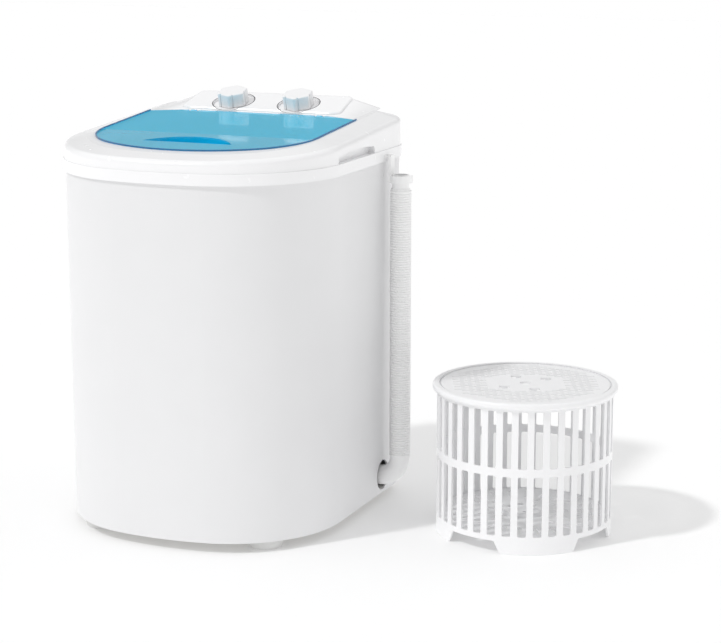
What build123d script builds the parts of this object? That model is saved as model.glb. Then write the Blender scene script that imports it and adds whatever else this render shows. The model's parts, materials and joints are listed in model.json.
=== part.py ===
from build123d import *
import os
from math import asin, atan2, cos, pi, radians, sin, sqrt

# Portable single-tub washing machine with its loose spin basket standing beside it.
# Millimetres, +Z up, floor at z = 0, front of the washer towards -Y, drain hose on the +X side.

# Body outline, seen from above, about the axis of the wash tub
half_width = 175.0
front_reach = 165.0
rear_reach = 205.0
front_radius = 343.0
corner_radius = 140.0
rear_radius = 40.0
draft = 1.5
shell_wall = 2.5
body_bottom = 12.5
seam_z = 165.0
shell_top = 451.0
lap_wall = 2.0
lap_drop = 8.0
bottom_flange = 5.0
bottom_flange_thickness = 1.5

# Cover, with its planes given as a height at the tub axis and a slope towards the rear
skirt_out = 3.0
skirt_bottom = 442.0
lip_z = 456.0
wall_out = 1.8
skin = 3.0
crease_z = 479.1
crease_slope = 0.059
lid_plane_z = 484.8
lid_slope = 0.077
shoulder_width = 30.0
crease_fillet = 7.0
recess_depth = 4.0
tub_mouth_radius = 116.0
collar_wall = 2.5
collar_bottom = 460.0
seat_gap = 0.2

# Side grips under the cover's shoulder
grip_front = -28.0
grip_rear = 85.0
grip_height = 8.5
grip_rise = 12.0
grip_depth = 8.0
grip_backing = 3.0
grip_corner = 4.0

# Console and its two knobs
panel_y = 149.7
panel_z = 504.8
panel_slope = 0.279
console_front = 123.5
console_rear = 199.0
console_base_half = 141.0
console_shoulder_half = 146.0
console_shoulder_y = 108.5
console_top_front = 126.0
console_top_rear = 184.0
console_top_half = 112.0
console_front_half = 108.0
console_top_front_half = 98.0
console_fillet = 8.0
console_edge = 3.0
console_top_turn = 4.0
knob_spacing = 91.8
well_radius = 27.0
well_depth = 3.0
knob_radius = 20.3
knob_corner = 4.0
knob_height = 14.6
knob_groove = 1.2
knob_turn = 22.4
knob_edge = 1.6
knob_gap = 0.5

# Lid
lid_half = 143.2
lid_front = 121.0
lid_front_radius = 195.0
lid_corner_radius = 95.0
lid_back = 122.0
lid_back_half = 96.0
lid_corner_y = 106.0
lid_gap = 0.8
lid_proud = 0.6
lid_thickness = 2.6
lid_rim_wall = 2.2
lid_seat_gap = 0.3
lid_edge_round = 0.8
pocket_half = 59.0
pocket_front = 75.0
pocket_back = 40.0
pocket_depth = 13.0
pocket_wall = 2.0
hinge_back = 2.7
hinge_depth = 1.4
hinge_x = 88.0
hinge_barrel = 2.6
barrel_length = 7.0
cheek_width = 3.6
hinge_side_gap = 0.35
hinge_pin_radius = 1.2
trench_depth = 5.5
trench_width = 9.0
relief_length = 15.0
relief_front = 2.4

# Feet
foot_front_x = 111.0
foot_front_y = -102.0
foot_rear_x = 120.0
foot_rear_y = 150.0
foot_radius = 22.0
foot_bottom_radius = 20.0
foot_height = 14.0
foot_bore = 6.5
foot_bore_depth = 6.0

# Base pan
pan_floor = 3.0
pan_rim_wall = 2.0
pan_rim_height = 14.0
pan_gap = 0.3
boss_radius = 6.5
boss_height = 14.0
post_x = 105.0
post_y = 55.0
post_radius = 12.0
post_bore = 8.5
vent_length = 40.0
vent_width = 5.0
vent_pitch = 13.0

# Drive plate, wash tub and its drain
plate_z = 150.0
plate_thickness = 2.0
plate_half = 125.0
plate_front = -110.0
plate_rear = 192.0
plate_corner = 14.0
plate_flange = 10.0
tub_inner = 124.0
tub_wall = 2.5
tub_floor_z = 172.0
tub_top = 462.0
tub_flange = 7.5
tub_flange_thickness = 4.0
tub_corner = 26.0
tub_ring_radius = 101.0
tub_ring_wall = 3.0
tub_boss_ring = 88.0
tub_boss_turn = 20
tub_boss = 6.0
tub_hub = 25.0
tub_hub_bottom = 160.0
wash_rib = 2.5
wash_rib_count = 6
gasket_bottom = 456.0
drain_x = 50.0
drain_y = 66.0
drain_bore = 8.0
drain_tube = 10.0
drain_tube_bottom = 132.0
filter_radius = 15.0
filter_thickness = 2.0

# Shaft, bearings, pulleys, belt and motor
shaft_radius = 5.0
shaft_top = 200.0
shaft_thread_radius = 4.0
running_gap = 0.03
slip_gap = 0.05
housing_radius = 17.0
housing_flange = 42.0
housing_flange_thickness = 5.0
housing_bottom = 62.0
housing_top = 168.0
housing_bolt_ring = 64.0
housing_core = 6.5
gusset_width = 4.0
gusset_drop = 45.0
bush_radius = 8.0
bush_length = 14.0
seal_radius = 11.0
seal_flange = 14.0
seal_flange_thickness = 2.0
pulley_bottom = 36.0
pulley_width = 14.0
driven_radius = 60.0
driven_root = 52.0
motor_pulley_radius = 15.0
motor_root = 8.0
belt_height = 6.0
belt_width = 8.0
belt_gap = 0.3
motor_x = -55.0
motor_y = 128.0
motor_radius = 52.0
motor_bottom = 62.0
motor_top = 140.0
motor_shaft_radius = 4.0
motor_plate = 4.0
motor_bolt_ring = 87.6
mount_radius = 8.0

# Pulsator
pulsator_radius = 95.0
pulsator_bottom = 181.0
pulsator_thickness = 3.0
pulsator_rise = 14.0
pulsator_fins = 4
fin_height = 13.0
fin_width = 11.0
pulsator_hub = 13.0

# Drain side: outlet, swivelling elbow, ribbed hose, cuff and hook
port_y = 121.7
port_z = 35.7
port_radius = 19.5
outlet_start = 112.0
outlet_end = 170.0
outlet_radius = 10.0
outlet_bore = 7.5
inner_hose_radius = 12.1
inner_hose_turn = 85.0
inner_hose_bend = 44.0
inner_hose_side_bend = 34.0
elbow_radius = 12.5
elbow_bend = 26.0
elbow_tail = 156.0
hose_x = 197.1
hose_bottom = 64.0
hose_top = 406.0
hose_crest = 13.5
hose_root = 12.0
hose_bore = 10.0
hose_ribs = 56
hose_end = 3.0
cuff_radius = 10.65
cuff_bore = 8.6
cuff_top = 425.7
clip_bottom = 415.7
clip_top = 425.0
clip_gap = 0.35
clip_wall = 2.2
clip_arm = 7.5
hook_width = 13.0
hook_thickness = 3.0
hook_top = 449.8
hook_tab_width = 8.0
hook_tab_height = 3.0

# Electrics
unit_side = 38.0
unit_depth = 30.0
bracket_thickness = 1.5
bracket_half_width = 78.0
bracket_half_height = 23.0
control_shaft_radius = 3.0
bracket_screw_x = 72.0
bracket_screw_y = 16.0
capacitor_radius = 18.0
capacitor_height = 62.0
capacitor_x = 70.0
capacitor_y = 168.0
gland_x = -135.0
gland_z = 62.0
gland_hole = 7.0
gland_bore = 3.5
gland_flange = 3.0
gland_flange_radius = 10.0
gland_neck_length = 6.0
lead_radius = 3.8
lead_run = 18.0
lead_bend = 14.0

# Rear panel
access_half = 90.0
access_bottom = 44.0
access_top = 146.0
access_lap = 12.0
access_thickness = 2.0

# Screws
screw_radius = 2.0
screw_head = 4.2
screw_head_height = 2.6

# Spin basket and its lid
basket_x = 377.3
basket_y = 79.8
basket_rim = 113.1
basket_wall_radius = 107.5
basket_wall = 2.5
basket_top = 186.0
rim_height = 8.0
rim_round = 3.4
rim_collar = 3.0
slot_count = 36
slot_turn = -3.0
slot_width = 10.6
slot_corner = 2.0
upper_slot_top = 175.0
upper_slot_bottom = 105.2
lower_slot_top = 95.6
lower_slot_bottom = 21.8
basket_floor_z = 18.5
basket_floor = 2.5
basket_foot_height = 15.5
basket_foot_gap = 33.0
basket_foot_flare = 4.0
basket_foot_round = 5.0
foot_gap_corner = 3.0
basket_hub_radius = 26.0
basket_hub_height = 8.0
basket_lid_radius = 102.7
basket_lid_thickness = 2.5
basket_lid_top = 185.0
basket_lid_lip = 3.0
basket_foot_turn = -62.6
slit_turn = 22.4
slit_length = 14.0
slit_width = 2.4
slit_pitch = 18.0
slit_row = 6.5
slit_margin = 7.0
lid_plain_radius = 44.0
lid_hole_ring = 34.0
lid_hole_turns = (38.0, 105.0, 218.0, 285.0)
lid_hole_side = 13.0
lid_hole_corner = 2.0
finger_hole_radius = 7.0

os.makedirs("parts", exist_ok=True)

# The origin is the middle of the footprint of washer and basket together
washer_x = -(basket_x + basket_rim - half_width - skirt_out) / 2
washer_y = -(rear_reach - front_reach) / 2


def level(z, x=0.0, y=0.0):
    """A horizontal plane at height z, centred x and y from the tub axis."""
    return Plane(origin=(washer_x + x, washer_y + y, z))


def tilted(z, slope):
    """A plane that is at height z over the tub axis and rises with slope towards the rear."""
    return Plane(origin=(washer_x, washer_y, z), x_dir=(1, 0, 0), z_dir=(0, -slope, 1))


def facing_right(x, y=0.0, z=0.0):
    """An upright plane whose normal is +X, with its own x towards the rear and its y up."""
    return Plane(origin=(washer_x + x, washer_y + y, z), x_dir=(0, 1, 0), z_dir=(1, 0, 0))


def facing_front(y, x=0.0, z=0.0):
    """An upright plane whose normal is -Y, with its own x to the right and its y up."""
    return Plane(origin=(washer_x + x, washer_y + y, z), x_dir=(1, 0, 0), z_dir=(0, -1, 0))


def panel(x=0.0, lift=0.0):
    """The console's sloping plane at a knob's centre line, lifted along its normal."""
    plane = Plane(origin=(washer_x + x, washer_y + panel_y, panel_z), x_dir=(1, 0, 0),
                  z_dir=(0, -panel_slope, 1))
    return plane.offset(lift)


def spindle(x=0.0, y=0.0):
    """The upright line through x and y, which are measured from the tub axis."""
    return Axis((washer_x + x, washer_y + y, 0), (0, 0, 1))


def draft_at(z):
    """How far the body's sides have come in at height z."""
    return draft * (shell_top - z) / (shell_top - body_bottom)


def front_points(half, front, front_r, corner_r, inset):
    """Of a front arc and its corner arcs, moved inwards by inset: where they join, a point half
    way round the corner, and where the straight side begins."""
    centre_y = front_r - front
    corner_x = half - corner_r
    corner_y = centre_y - sqrt((front_r - corner_r) ** 2 - corner_x ** 2)
    reach = (front_r - inset) / (front_r - corner_r)
    join = (reach * corner_x, centre_y - reach * (centre_y - corner_y))
    middle = atan2(join[1] - corner_y, join[0] - corner_x) / 2
    turn = corner_r - inset
    bulge = (corner_x + turn * cos(middle), corner_y + turn * sin(middle))
    return join, bulge, (half - inset, corner_y)


def mirrored(point):
    return (-point[0], point[1])


def body_outline(inset=0.0):
    """The washer's plan outline, moved inwards by inset."""
    join, bulge, side = front_points(half_width, front_reach, front_radius, corner_radius, inset)
    back = rear_reach - inset
    centre_x = half_width - rear_radius
    centre_y = rear_reach - rear_radius
    turn = (rear_radius - inset) * sqrt(0.5)
    rear_side = (side[0], centre_y)
    rear_bulge = (centre_x + turn, centre_y + turn)
    rear_end = (centre_x, back)
    with BuildSketch() as sketch:
        with BuildLine():
            ThreePointArc(mirrored(join), (0, inset - front_reach), join)
            ThreePointArc(join, bulge, side)
            Line(side, rear_side)
            ThreePointArc(rear_side, rear_bulge, rear_end)
            Line(rear_end, mirrored(rear_end))
            ThreePointArc(mirrored(rear_end), mirrored(rear_bulge), mirrored(rear_side))
            Line(mirrored(rear_side), mirrored(side))
            ThreePointArc(mirrored(side), mirrored(bulge), mirrored(join))
        make_face()
    return sketch.sketch


def lid_outline(grow=0.0):
    """The lid's plan outline, moved outwards by grow."""
    join, bulge, side = front_points(lid_half, lid_front, lid_front_radius, lid_corner_radius, -grow)
    fall = (lid_back - lid_corner_y) / (lid_half - lid_back_half)
    back = (lid_back_half + grow * (sqrt(1 + fall ** 2) - 1) / fall, lid_back + grow)
    tip = (side[0], back[1] - fall * (side[0] - back[0]))
    with BuildSketch() as sketch:
        with BuildLine():
            ThreePointArc(mirrored(join), (0, -lid_front - grow), join)
            ThreePointArc(join, bulge, side)
            Polyline(side, tip, back, mirrored(back), mirrored(tip), mirrored(side))
            ThreePointArc(mirrored(side), mirrored(bulge), mirrored(join))
        make_face()
    return sketch.sketch


def outline_solid(bottom, top, inset=0.0, mode=Mode.ADD):
    """The body's drafted outline between two heights, moved inwards by inset."""
    with BuildSketch(level(bottom)) as lower:
        add(body_outline(inset + draft_at(bottom)))
    with BuildSketch(level(top)) as upper:
        add(body_outline(inset + draft_at(top)))
    loft(sections=[lower.sketch, upper.sketch], ruled=True, mode=mode)


def disc(bottom, top, radius, bore=0.0, x=0.0, y=0.0, mode=Mode.ADD):
    """An upright cylinder or ring between two heights, placed from the tub axis."""
    with BuildSketch(level(bottom, x, y)) as profile:
        Circle(radius)
        if bore:
            Circle(bore, mode=Mode.SUBTRACT)
    extrude(profile.sketch, amount=top - bottom, mode=mode)


def block(x, y, z, size_x, size_y, size_z, mode=Mode.ADD):
    """A box centred at x and y from the tub axis, with its bottom at z."""
    with BuildSketch(level(z, x, y)) as profile:
        Rectangle(size_x, size_y)
    extrude(profile.sketch, amount=size_z, mode=mode)


def screws(places, seat_z, tip_z, up=True):
    """Pan-head screws at the places: the head is under its seat, or above it when up is False."""
    for x, y in places:
        head_end = seat_z - screw_head_height if up else seat_z + screw_head_height
        disc(min(seat_z, head_end), max(seat_z, head_end), screw_head, x=x, y=y)
        disc(min(seat_z, tip_z), max(seat_z, tip_z), screw_radius, x=x, y=y)


def save(part, name):
    part.label = name
    export_step(part, "parts/" + name + ".step")


foot_places = [(side * x, y) for x, y in ((foot_front_x, foot_front_y), (foot_rear_x, foot_rear_y))
               for side in (-1, 1)]
post_places = [(x, y) for x in (-post_x, post_x) for y in (-post_y, post_y)]
pan_z = body_bottom + bottom_flange_thickness
pan_top = pan_z + pan_floor
cover_screw_places = (-110.0, 0.0, 110.0)
plate_top = plate_z + plate_thickness

# Rubber feet
with BuildPart() as feet:
    for x, y in foot_places:
        with BuildSketch(facing_front(y, x)) as foot_profile:
            with BuildLine():
                Polyline((0, 0), (foot_bottom_radius, 0), (foot_radius, foot_height / 2),
                         (foot_radius, pan_z), (0, pan_z), close=True)
            make_face()
        revolve(foot_profile.sketch, axis=spindle(x, y))
        disc(0, foot_bore_depth, foot_bore, x=x, y=y, mode=Mode.SUBTRACT)
        disc(0, pan_z, screw_radius + slip_gap, x=x, y=y, mode=Mode.SUBTRACT)
save(feet.part, "feet")

# Foot screws
with BuildPart() as foot_screws:
    screws(foot_places, foot_bore_depth, pan_top + boss_height - pan_floor)
save(foot_screws.part, "foot_screws")

# Base pan: floor with vents, rim, foot bosses, four posts and the capacitor's cup
with BuildPart() as base_pan:
    outline_solid(pan_z, pan_top, shell_wall + pan_gap)
    outline_solid(pan_top, pan_z + pan_rim_height, shell_wall + pan_gap)
    outline_solid(pan_top, pan_z + pan_rim_height, shell_wall + pan_gap + pan_rim_wall, Mode.SUBTRACT)
    for x, y in foot_places:
        disc(pan_z, pan_top + boss_height, boss_radius, x=x, y=y)
        disc(pan_z, pan_top + boss_height - 1, screw_radius + slip_gap, x=x, y=y, mode=Mode.SUBTRACT)
    for x, y in post_places:
        disc(pan_z, plate_z, post_radius, x=x, y=y)
        disc(pan_z - 1, plate_z - 30, post_bore, x=x, y=y, mode=Mode.SUBTRACT)
        disc(plate_z - 22, plate_z, screw_radius + slip_gap, x=x, y=y, mode=Mode.SUBTRACT)
    disc(pan_z, pan_top + 12, capacitor_radius + 2.5, x=capacitor_x, y=capacitor_y)
    disc(pan_top, pan_top + 12, capacitor_radius + slip_gap, x=capacitor_x, y=capacitor_y,
         mode=Mode.SUBTRACT)
    block(half_width, port_y, pan_top, 20, 2 * elbow_radius + 4, pan_rim_height, Mode.SUBTRACT)
    with BuildSketch(level(pan_z)) as vents:
        with GridLocations(vent_length + 12, vent_pitch, 3, 9):
            SlotOverall(vent_length, vent_width)
    extrude(vents.sketch, amount=pan_floor, mode=Mode.SUBTRACT)
save(base_pan.part, "base_pan")

# Base shell: the lower band of the body with its flange, drain port, rear opening and gland hole
access_mid = (access_bottom + access_top) / 2
access_screws = [(x, z) for x in (-access_half - access_lap / 2, access_half + access_lap / 2)
                 for z in (access_bottom - access_lap / 2, access_top + access_lap / 2)]
with BuildPart() as base_shell:
    outline_solid(body_bottom, seam_z)
    outline_solid(body_bottom, pan_z, bottom_flange, Mode.SUBTRACT)
    outline_solid(pan_z, seam_z, shell_wall, Mode.SUBTRACT)
    for x, z in access_screws:
        for start, radius, mode in ((rear_reach - 1.9, screw_head + 0.8, Mode.ADD),
                                    (rear_reach + 1, screw_radius + slip_gap, Mode.SUBTRACT)):
            with BuildSketch(facing_front(start, x, z)):
                Circle(radius)
            extrude(amount=start - rear_reach + 10, mode=mode)
    with BuildSketch(facing_right(half_width - 12, port_y, port_z)):
        Circle(port_radius)
    extrude(amount=20, mode=Mode.SUBTRACT)
    with BuildSketch(facing_front(rear_reach + 5, 0, access_mid)):
        RectangleRounded(2 * access_half, access_top - access_bottom, 8)
    extrude(amount=15, mode=Mode.SUBTRACT)
    with BuildSketch(facing_front(rear_reach + 5, gland_x, gland_z)):
        Circle(gland_hole)
    extrude(amount=15, mode=Mode.SUBTRACT)
save(base_shell.part, "base_shell")

# Outer shell: the upper band of the body, with a lap that reaches down inside the base shell
lap_top = seam_z + 3
with BuildPart() as outer_shell:
    outline_solid(seam_z, shell_top)
    outline_solid(seam_z, shell_top, shell_wall, Mode.SUBTRACT)
    outline_solid(seam_z, lap_top, shell_wall - 0.2)
    outline_solid(seam_z - lap_drop, seam_z, shell_wall + pan_gap)
    outline_solid(seam_z - lap_drop, lap_top, shell_wall + pan_gap + lap_wall, Mode.SUBTRACT)
    for x in cover_screw_places:
        block(x, rear_reach - shell_wall - 5, shell_top - 14, 12, 10, 14)
        with BuildSketch(facing_front(rear_reach + 1, x, shell_top - 5)):
            Circle(screw_radius + slip_gap)
        extrude(amount=14, mode=Mode.SUBTRACT)
save(outer_shell.part, "outer_shell")


def dome(wall_inset, bottom, drop, mode=Mode.ADD):
    """The cover's form under its crease and its shoulder, lowered by drop."""
    with BuildSketch(level(bottom)) as foot:
        add(body_outline(wall_inset))
    with BuildSketch(tilted(crease_z - drop, crease_slope)) as crease:
        add(body_outline(wall_inset))
    with BuildSketch(tilted(lid_plane_z - drop, lid_slope)) as flat:
        add(body_outline(wall_inset + shoulder_width))
    loft(sections=[foot.sketch, crease.sketch], ruled=True, mode=mode)
    loft(sections=[crease.sketch, flat.sketch], ruled=True, mode=mode)


def crease_edges(part):
    """The edges along which the cover's wall meets its shoulder."""
    def off_crease(edge):
        middle = edge.center()
        return abs(middle.Z - crease_z - crease_slope * (middle.Y - washer_y))
    return part.edges().filter_by(lambda edge: off_crease(edge) < 0.6)


def console_base(inset=0.0):
    """The console's outline where it leaves the lid plane."""
    front = (console_front_half - inset / 2, console_front + inset)
    shoulder = (console_shoulder_half - inset, console_shoulder_y + inset)
    rear = (console_base_half - inset, console_rear - inset)
    with BuildSketch() as sketch:
        with BuildLine():
            Polyline(front, shoulder, rear, mirrored(rear), mirrored(shoulder), mirrored(front), close=True)
        make_face()
        fillet(sketch.vertices(), radius=console_fillet - inset)
    return sketch.sketch


def console_top(inset=0.0):
    """The console's outline in its sloping plane, measured from the knobs' centre line."""
    lean = sqrt(1 + panel_slope ** 2)
    front = (console_top_front_half - inset / 2, (console_top_front + inset - panel_y) * lean)
    shoulder = (console_top_half - inset, front[1] + console_top_turn)
    rear = (console_top_half - console_top_turn - inset, (console_top_rear - inset - panel_y) * lean)
    with BuildSketch() as sketch:
        with BuildLine():
            Polyline(front, shoulder, rear, mirrored(rear), mirrored(shoulder), mirrored(front), close=True)
        make_face()
        fillet(sketch.vertices(), radius=console_fillet - inset)
    return sketch.sketch


def console_form(inset, drop, round_over=0.0, mode=Mode.ADD):
    """The console between the lid plane and its own sloping plane, with its top edge rounded over."""
    with BuildSketch(tilted(lid_plane_z - drop - 1, lid_slope)) as base:
        add(console_base(inset))
    sections = [base.sketch]
    for turn in (0, 30, 60, 90) if round_over else (90,):
        with BuildSketch(panel(0, -drop - round_over * (1 - sin(radians(turn))))) as band:
            add(console_top(inset + round_over * (1 - cos(radians(turn)))))
        sections.append(band.sketch)
    loft(sections=sections, ruled=True, mode=mode)


def lid_slab(low, high, grow=0.0, rear_only=0.0, mode=Mode.ADD):
    """The lid's outline between two heights over the lid plane, all of it or its rear strip."""
    with BuildSketch(tilted(lid_plane_z + low, lid_slope)) as slab:
        add(lid_outline(grow))
        if rear_only:
            with Locations((0, lid_back - rear_only - 200)):
                Rectangle(400, 400, mode=Mode.SUBTRACT)
    extrude(slab.sketch, amount=high - low, mode=mode)


def panel_disc(x, y, low, high, radius, mode=Mode.ADD):
    """A round pad or hole square to the console's plane, between two lifts from it."""
    with BuildSketch(panel(x, low)) as pad:
        with Locations((0, y)):
            Circle(radius)
    extrude(pad.sketch, amount=high - low, mode=mode)


hinge_y = lid_back - hinge_back
hinge_z = lid_plane_z + lid_slope * hinge_y - hinge_depth
hinge_places = (-hinge_x, hinge_x)
cheek_offset = barrel_length / 2 + hinge_side_gap + cheek_width / 2
relief_reach = lid_proud + hinge_depth + lid_gap
relief_depth = trench_depth - hinge_depth
knob_places = (-knob_spacing / 2, knob_spacing / 2)
bracket_lift = -(well_depth + skin)
bracket_screw_places = [(x, y) for x in (-bracket_screw_x, bracket_screw_x)
                        for y in (-bracket_screw_y, bracket_screw_y)]

# Top cover: a moulded skin with skirt, side grips, lid recess, splash collar and console
with BuildPart() as top_cover:
    dome(-wall_out, lip_z, 0)
    fillet(crease_edges(top_cover), radius=crease_fillet)
    console_form(0, 0, console_edge)
    with BuildSketch(level(skirt_bottom)):
        add(body_outline(-skirt_out))
    extrude(amount=lip_z - skirt_bottom)
    with BuildSketch(level(skirt_bottom)):
        add(body_outline(-pan_gap))
    extrude(amount=shell_top + seat_gap - skirt_bottom, mode=Mode.SUBTRACT)
    dome(skin - wall_out, shell_top + seat_gap, skin, Mode.SUBTRACT)
    console_form(skin, skin, mode=Mode.SUBTRACT)
    lid_slab(-recess_depth - skin, -1, lid_gap + skin)
    lid_slab(-trench_depth - skin, -recess_depth - skin, lid_gap + skin, trench_width + skin)
    disc(collar_bottom, lid_plane_z + 20, tub_mouth_radius + collar_wall, tub_mouth_radius)
    for x in knob_places:
        panel_disc(x, 0, bracket_lift, -skin / 2, well_radius + skin)
    lid_slab(-recess_depth, 30, lid_gap, mode=Mode.SUBTRACT)
    lid_slab(-trench_depth, 0, lid_gap, trench_width, Mode.SUBTRACT)
    disc(skirt_bottom, lid_plane_z + 30, tub_mouth_radius, mode=Mode.SUBTRACT)
    for side in (-1, 1):
        block(side * (lid_back_half + relief_length / 2), hinge_y + (relief_reach - relief_front) / 2,
              hinge_z - relief_depth, relief_length, relief_reach + relief_front, 2 * relief_depth,
              Mode.SUBTRACT)
        grip_x = side * (half_width - draft_at(lip_z))
        grip_middle = (grip_front + grip_rear) / 2
        grip_length = grip_rear - grip_front
        block(grip_x - side * (grip_depth + grip_backing - wall_out) / 2, grip_middle, lip_z - skin,
              grip_depth + grip_backing + wall_out - 1, grip_length + 2 * skin, grip_rise + 2 * skin)
    for x in hinge_places:
        for offset in (-cheek_offset, cheek_offset):
            with BuildSketch(facing_right(x + offset - cheek_width / 2, hinge_y, hinge_z)) as cheek:
                Circle(hinge_barrel)
                with Locations((0, -trench_depth / 2)):
                    Rectangle(2 * hinge_barrel, trench_depth)
                Circle(hinge_pin_radius + running_gap, mode=Mode.SUBTRACT)
            extrude(cheek.sketch, amount=cheek_width)
    for x, y in bracket_screw_places:
        panel_disc(x, y, bracket_lift, -skin / 2, screw_head)
        panel_disc(x, y, bracket_lift, bracket_lift + 4.5, screw_radius + slip_gap, Mode.SUBTRACT)
    for x in knob_places:
        panel_disc(x, 0, -well_depth, 10, well_radius, Mode.SUBTRACT)
        panel_disc(x, 0, bracket_lift, 0, control_shaft_radius + 1.5, Mode.SUBTRACT)
    for side in (-1, 1):
        grip_plane = facing_right(side * (half_width + wall_out - grip_depth), grip_middle, lip_z)
        grip_end = grip_length / 2
        with BuildSketch(grip_plane) as grip:
            with BuildLine():
                Polyline((-grip_end, grip_height), (-grip_end, 0), (grip_end, 0), (grip_end, grip_height))
                ThreePointArc((grip_end, grip_height), (0, grip_rise), (-grip_end, grip_height))
            make_face()
            fillet(grip.vertices().group_by(Axis.Y)[-1], radius=grip_corner)
        extrude(grip.sketch, amount=side * 20, mode=Mode.SUBTRACT)
    for x in cover_screw_places:
        with BuildSketch(facing_front(rear_reach + skirt_out + 1, x, shell_top - 5)):
            Circle(screw_radius + slip_gap)
        extrude(amount=6, mode=Mode.SUBTRACT)
    block(half_width + skirt_out, port_y, hook_top - hook_tab_height - slip_gap, 5.4, hook_tab_width + 0.4,
          hook_tab_height + 2 * slip_gap, Mode.SUBTRACT)
save(top_cover.part, "top_cover")

# Lid: a clear plate with a turned-down rim, a finger pocket and two hinge barrels
with BuildPart() as lid:
    lid_slab(lid_proud - lid_thickness, lid_proud)
    fillet(lid.faces().sort_by(Axis.Z)[-1].edges(), radius=lid_edge_round)
    with BuildSketch(tilted(lid_plane_z - recess_depth + lid_seat_gap, lid_slope)) as rim:
        add(lid_outline(0))
        add(lid_outline(-lid_rim_wall), mode=Mode.SUBTRACT)
        with Locations((0, lid_corner_y + 98)):
            Rectangle(400, 200, mode=Mode.SUBTRACT)
    extrude(rim.sketch, amount=recess_depth - lid_seat_gap - 1)
    for grow, low, high, mode in ((pocket_wall, -pocket_depth - pocket_wall, -1, Mode.ADD),
                                  (0, -pocket_depth, 3, Mode.SUBTRACT)):
        with BuildSketch(tilted(lid_plane_z + low, lid_slope)) as pocket:
            with BuildLine():
                end = (pocket_half + grow, -pocket_front - grow)
                ThreePointArc(mirrored(end), (0, -pocket_back + grow), end)
                Line(end, mirrored(end))
            make_face()
        extrude(pocket.sketch, amount=high - low, mode=mode)
    for x in hinge_places:
        for offset in (-cheek_offset, cheek_offset):
            block(x + offset, hinge_y, hinge_z - 10, cheek_width + 2 * hinge_side_gap,
                  2 * hinge_barrel + 1.4, 20, Mode.SUBTRACT)
        with BuildSketch(facing_right(x - barrel_length / 2, hinge_y, hinge_z)) as barrel:
            Circle(hinge_barrel)
        extrude(barrel.sketch, amount=barrel_length)
        with BuildSketch(facing_right(x - barrel_length / 2 - 1, hinge_y, hinge_z)) as bore:
            Circle(hinge_pin_radius + slip_gap)
        extrude(bore.sketch, amount=barrel_length + 2, mode=Mode.SUBTRACT)
save(lid.part, "lid")

# Hinge pins
pin_half = cheek_offset + cheek_width / 2
with BuildPart() as lid_hinge_pins:
    for x in hinge_places:
        with BuildSketch(facing_right(x - pin_half, hinge_y, hinge_z)) as pin:
            Circle(hinge_pin_radius)
        extrude(pin.sketch, amount=2 * pin_half)
save(lid_hinge_pins.part, "lid_hinge_pins")


def knob(x):
    """A six-sided knob in its well, with a groove down the middle of each side."""
    bottom = knob_gap - well_depth
    with BuildSketch(panel(x, bottom)) as blank:
        RegularPolygon(knob_radius, 6, rotation=-60 - knob_turn)
        fillet(blank.vertices(), radius=knob_corner)
    with BuildPart() as part:
        extrude(blank.sketch, amount=knob_height - bottom)
        top = part.faces().sort_by(Axis.Z)[-1]
        fillet(top.edges(), radius=knob_edge)
        with BuildSketch(panel(x, bottom)) as grooves:
            with PolarLocations(knob_radius * cos(radians(30)), 6, start_angle=-90 + knob_turn):
                Circle(knob_groove)
        extrude(grooves.sketch, amount=2 * knob_height, mode=Mode.SUBTRACT)
        panel_disc(x, 0, bottom, knob_height / 2 + slip_gap, control_shaft_radius + slip_gap, Mode.SUBTRACT)
    return part.part


def control_unit(x, name, square):
    """A switch body under the bracket, with the bore that its shaft turns in."""
    with BuildPart() as part:
        with BuildSketch(panel(x, bracket_lift - bracket_thickness - unit_depth)) as body:
            if square:
                RectangleRounded(unit_side, unit_side, 4)
            else:
                Circle(unit_side / 2)
        extrude(body.sketch, amount=unit_depth)
        panel_disc(x, 0, bracket_lift - bracket_thickness - unit_depth / 2, 0,
                   control_shaft_radius + running_gap, Mode.SUBTRACT)
    save(part.part, name)


def control_shaft(x, name):
    """The shaft between a switch body and its knob."""
    with BuildPart() as part:
        panel_disc(x, 0, 1 + bracket_lift - bracket_thickness - unit_depth / 2, knob_height / 2,
                   control_shaft_radius)
    save(part.part, name)


# Knobs, their shafts and the two units that they turn
save(knob(knob_places[0]), "timer_knob")
save(knob(knob_places[1]), "selector_knob")
control_shaft(knob_places[0], "timer_shaft")
control_shaft(knob_places[1], "selector_shaft")
control_unit(knob_places[0], "timer_unit", True)
control_unit(knob_places[1], "selector_switch", False)

# Steel bracket under the console, and its screws
with BuildPart() as control_bracket:
    with BuildSketch(panel(0, bracket_lift - bracket_thickness)) as strip:
        RectangleRounded(2 * bracket_half_width, 2 * bracket_half_height, 5)
        with Locations(*[(x, 0) for x in knob_places]):
            Circle(control_shaft_radius + 1.5, mode=Mode.SUBTRACT)
        with Locations(*bracket_screw_places):
            Circle(screw_radius + slip_gap, mode=Mode.SUBTRACT)
    extrude(strip.sketch, amount=bracket_thickness)
save(control_bracket.part, "control_bracket")
with BuildPart() as control_screws:
    for x, y in bracket_screw_places:
        seat = bracket_lift - bracket_thickness
        panel_disc(x, y, seat - screw_head_height, seat, screw_head)
        panel_disc(x, y, seat, bracket_lift + 4.3, screw_radius)
save(control_screws.part, "control_screws")

# Screws at the back of the cover
with BuildPart() as cover_screws:
    for x in cover_screw_places:
        with BuildSketch(facing_front(rear_reach + skirt_out + screw_head_height, x, shell_top - 5)):
            Circle(screw_head)
        extrude(amount=screw_head_height)
        with BuildSketch(facing_front(rear_reach + skirt_out, x, shell_top - 5)):
            Circle(screw_radius)
        extrude(amount=skirt_out + 11)
save(cover_screws.part, "cover_screws")

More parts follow.
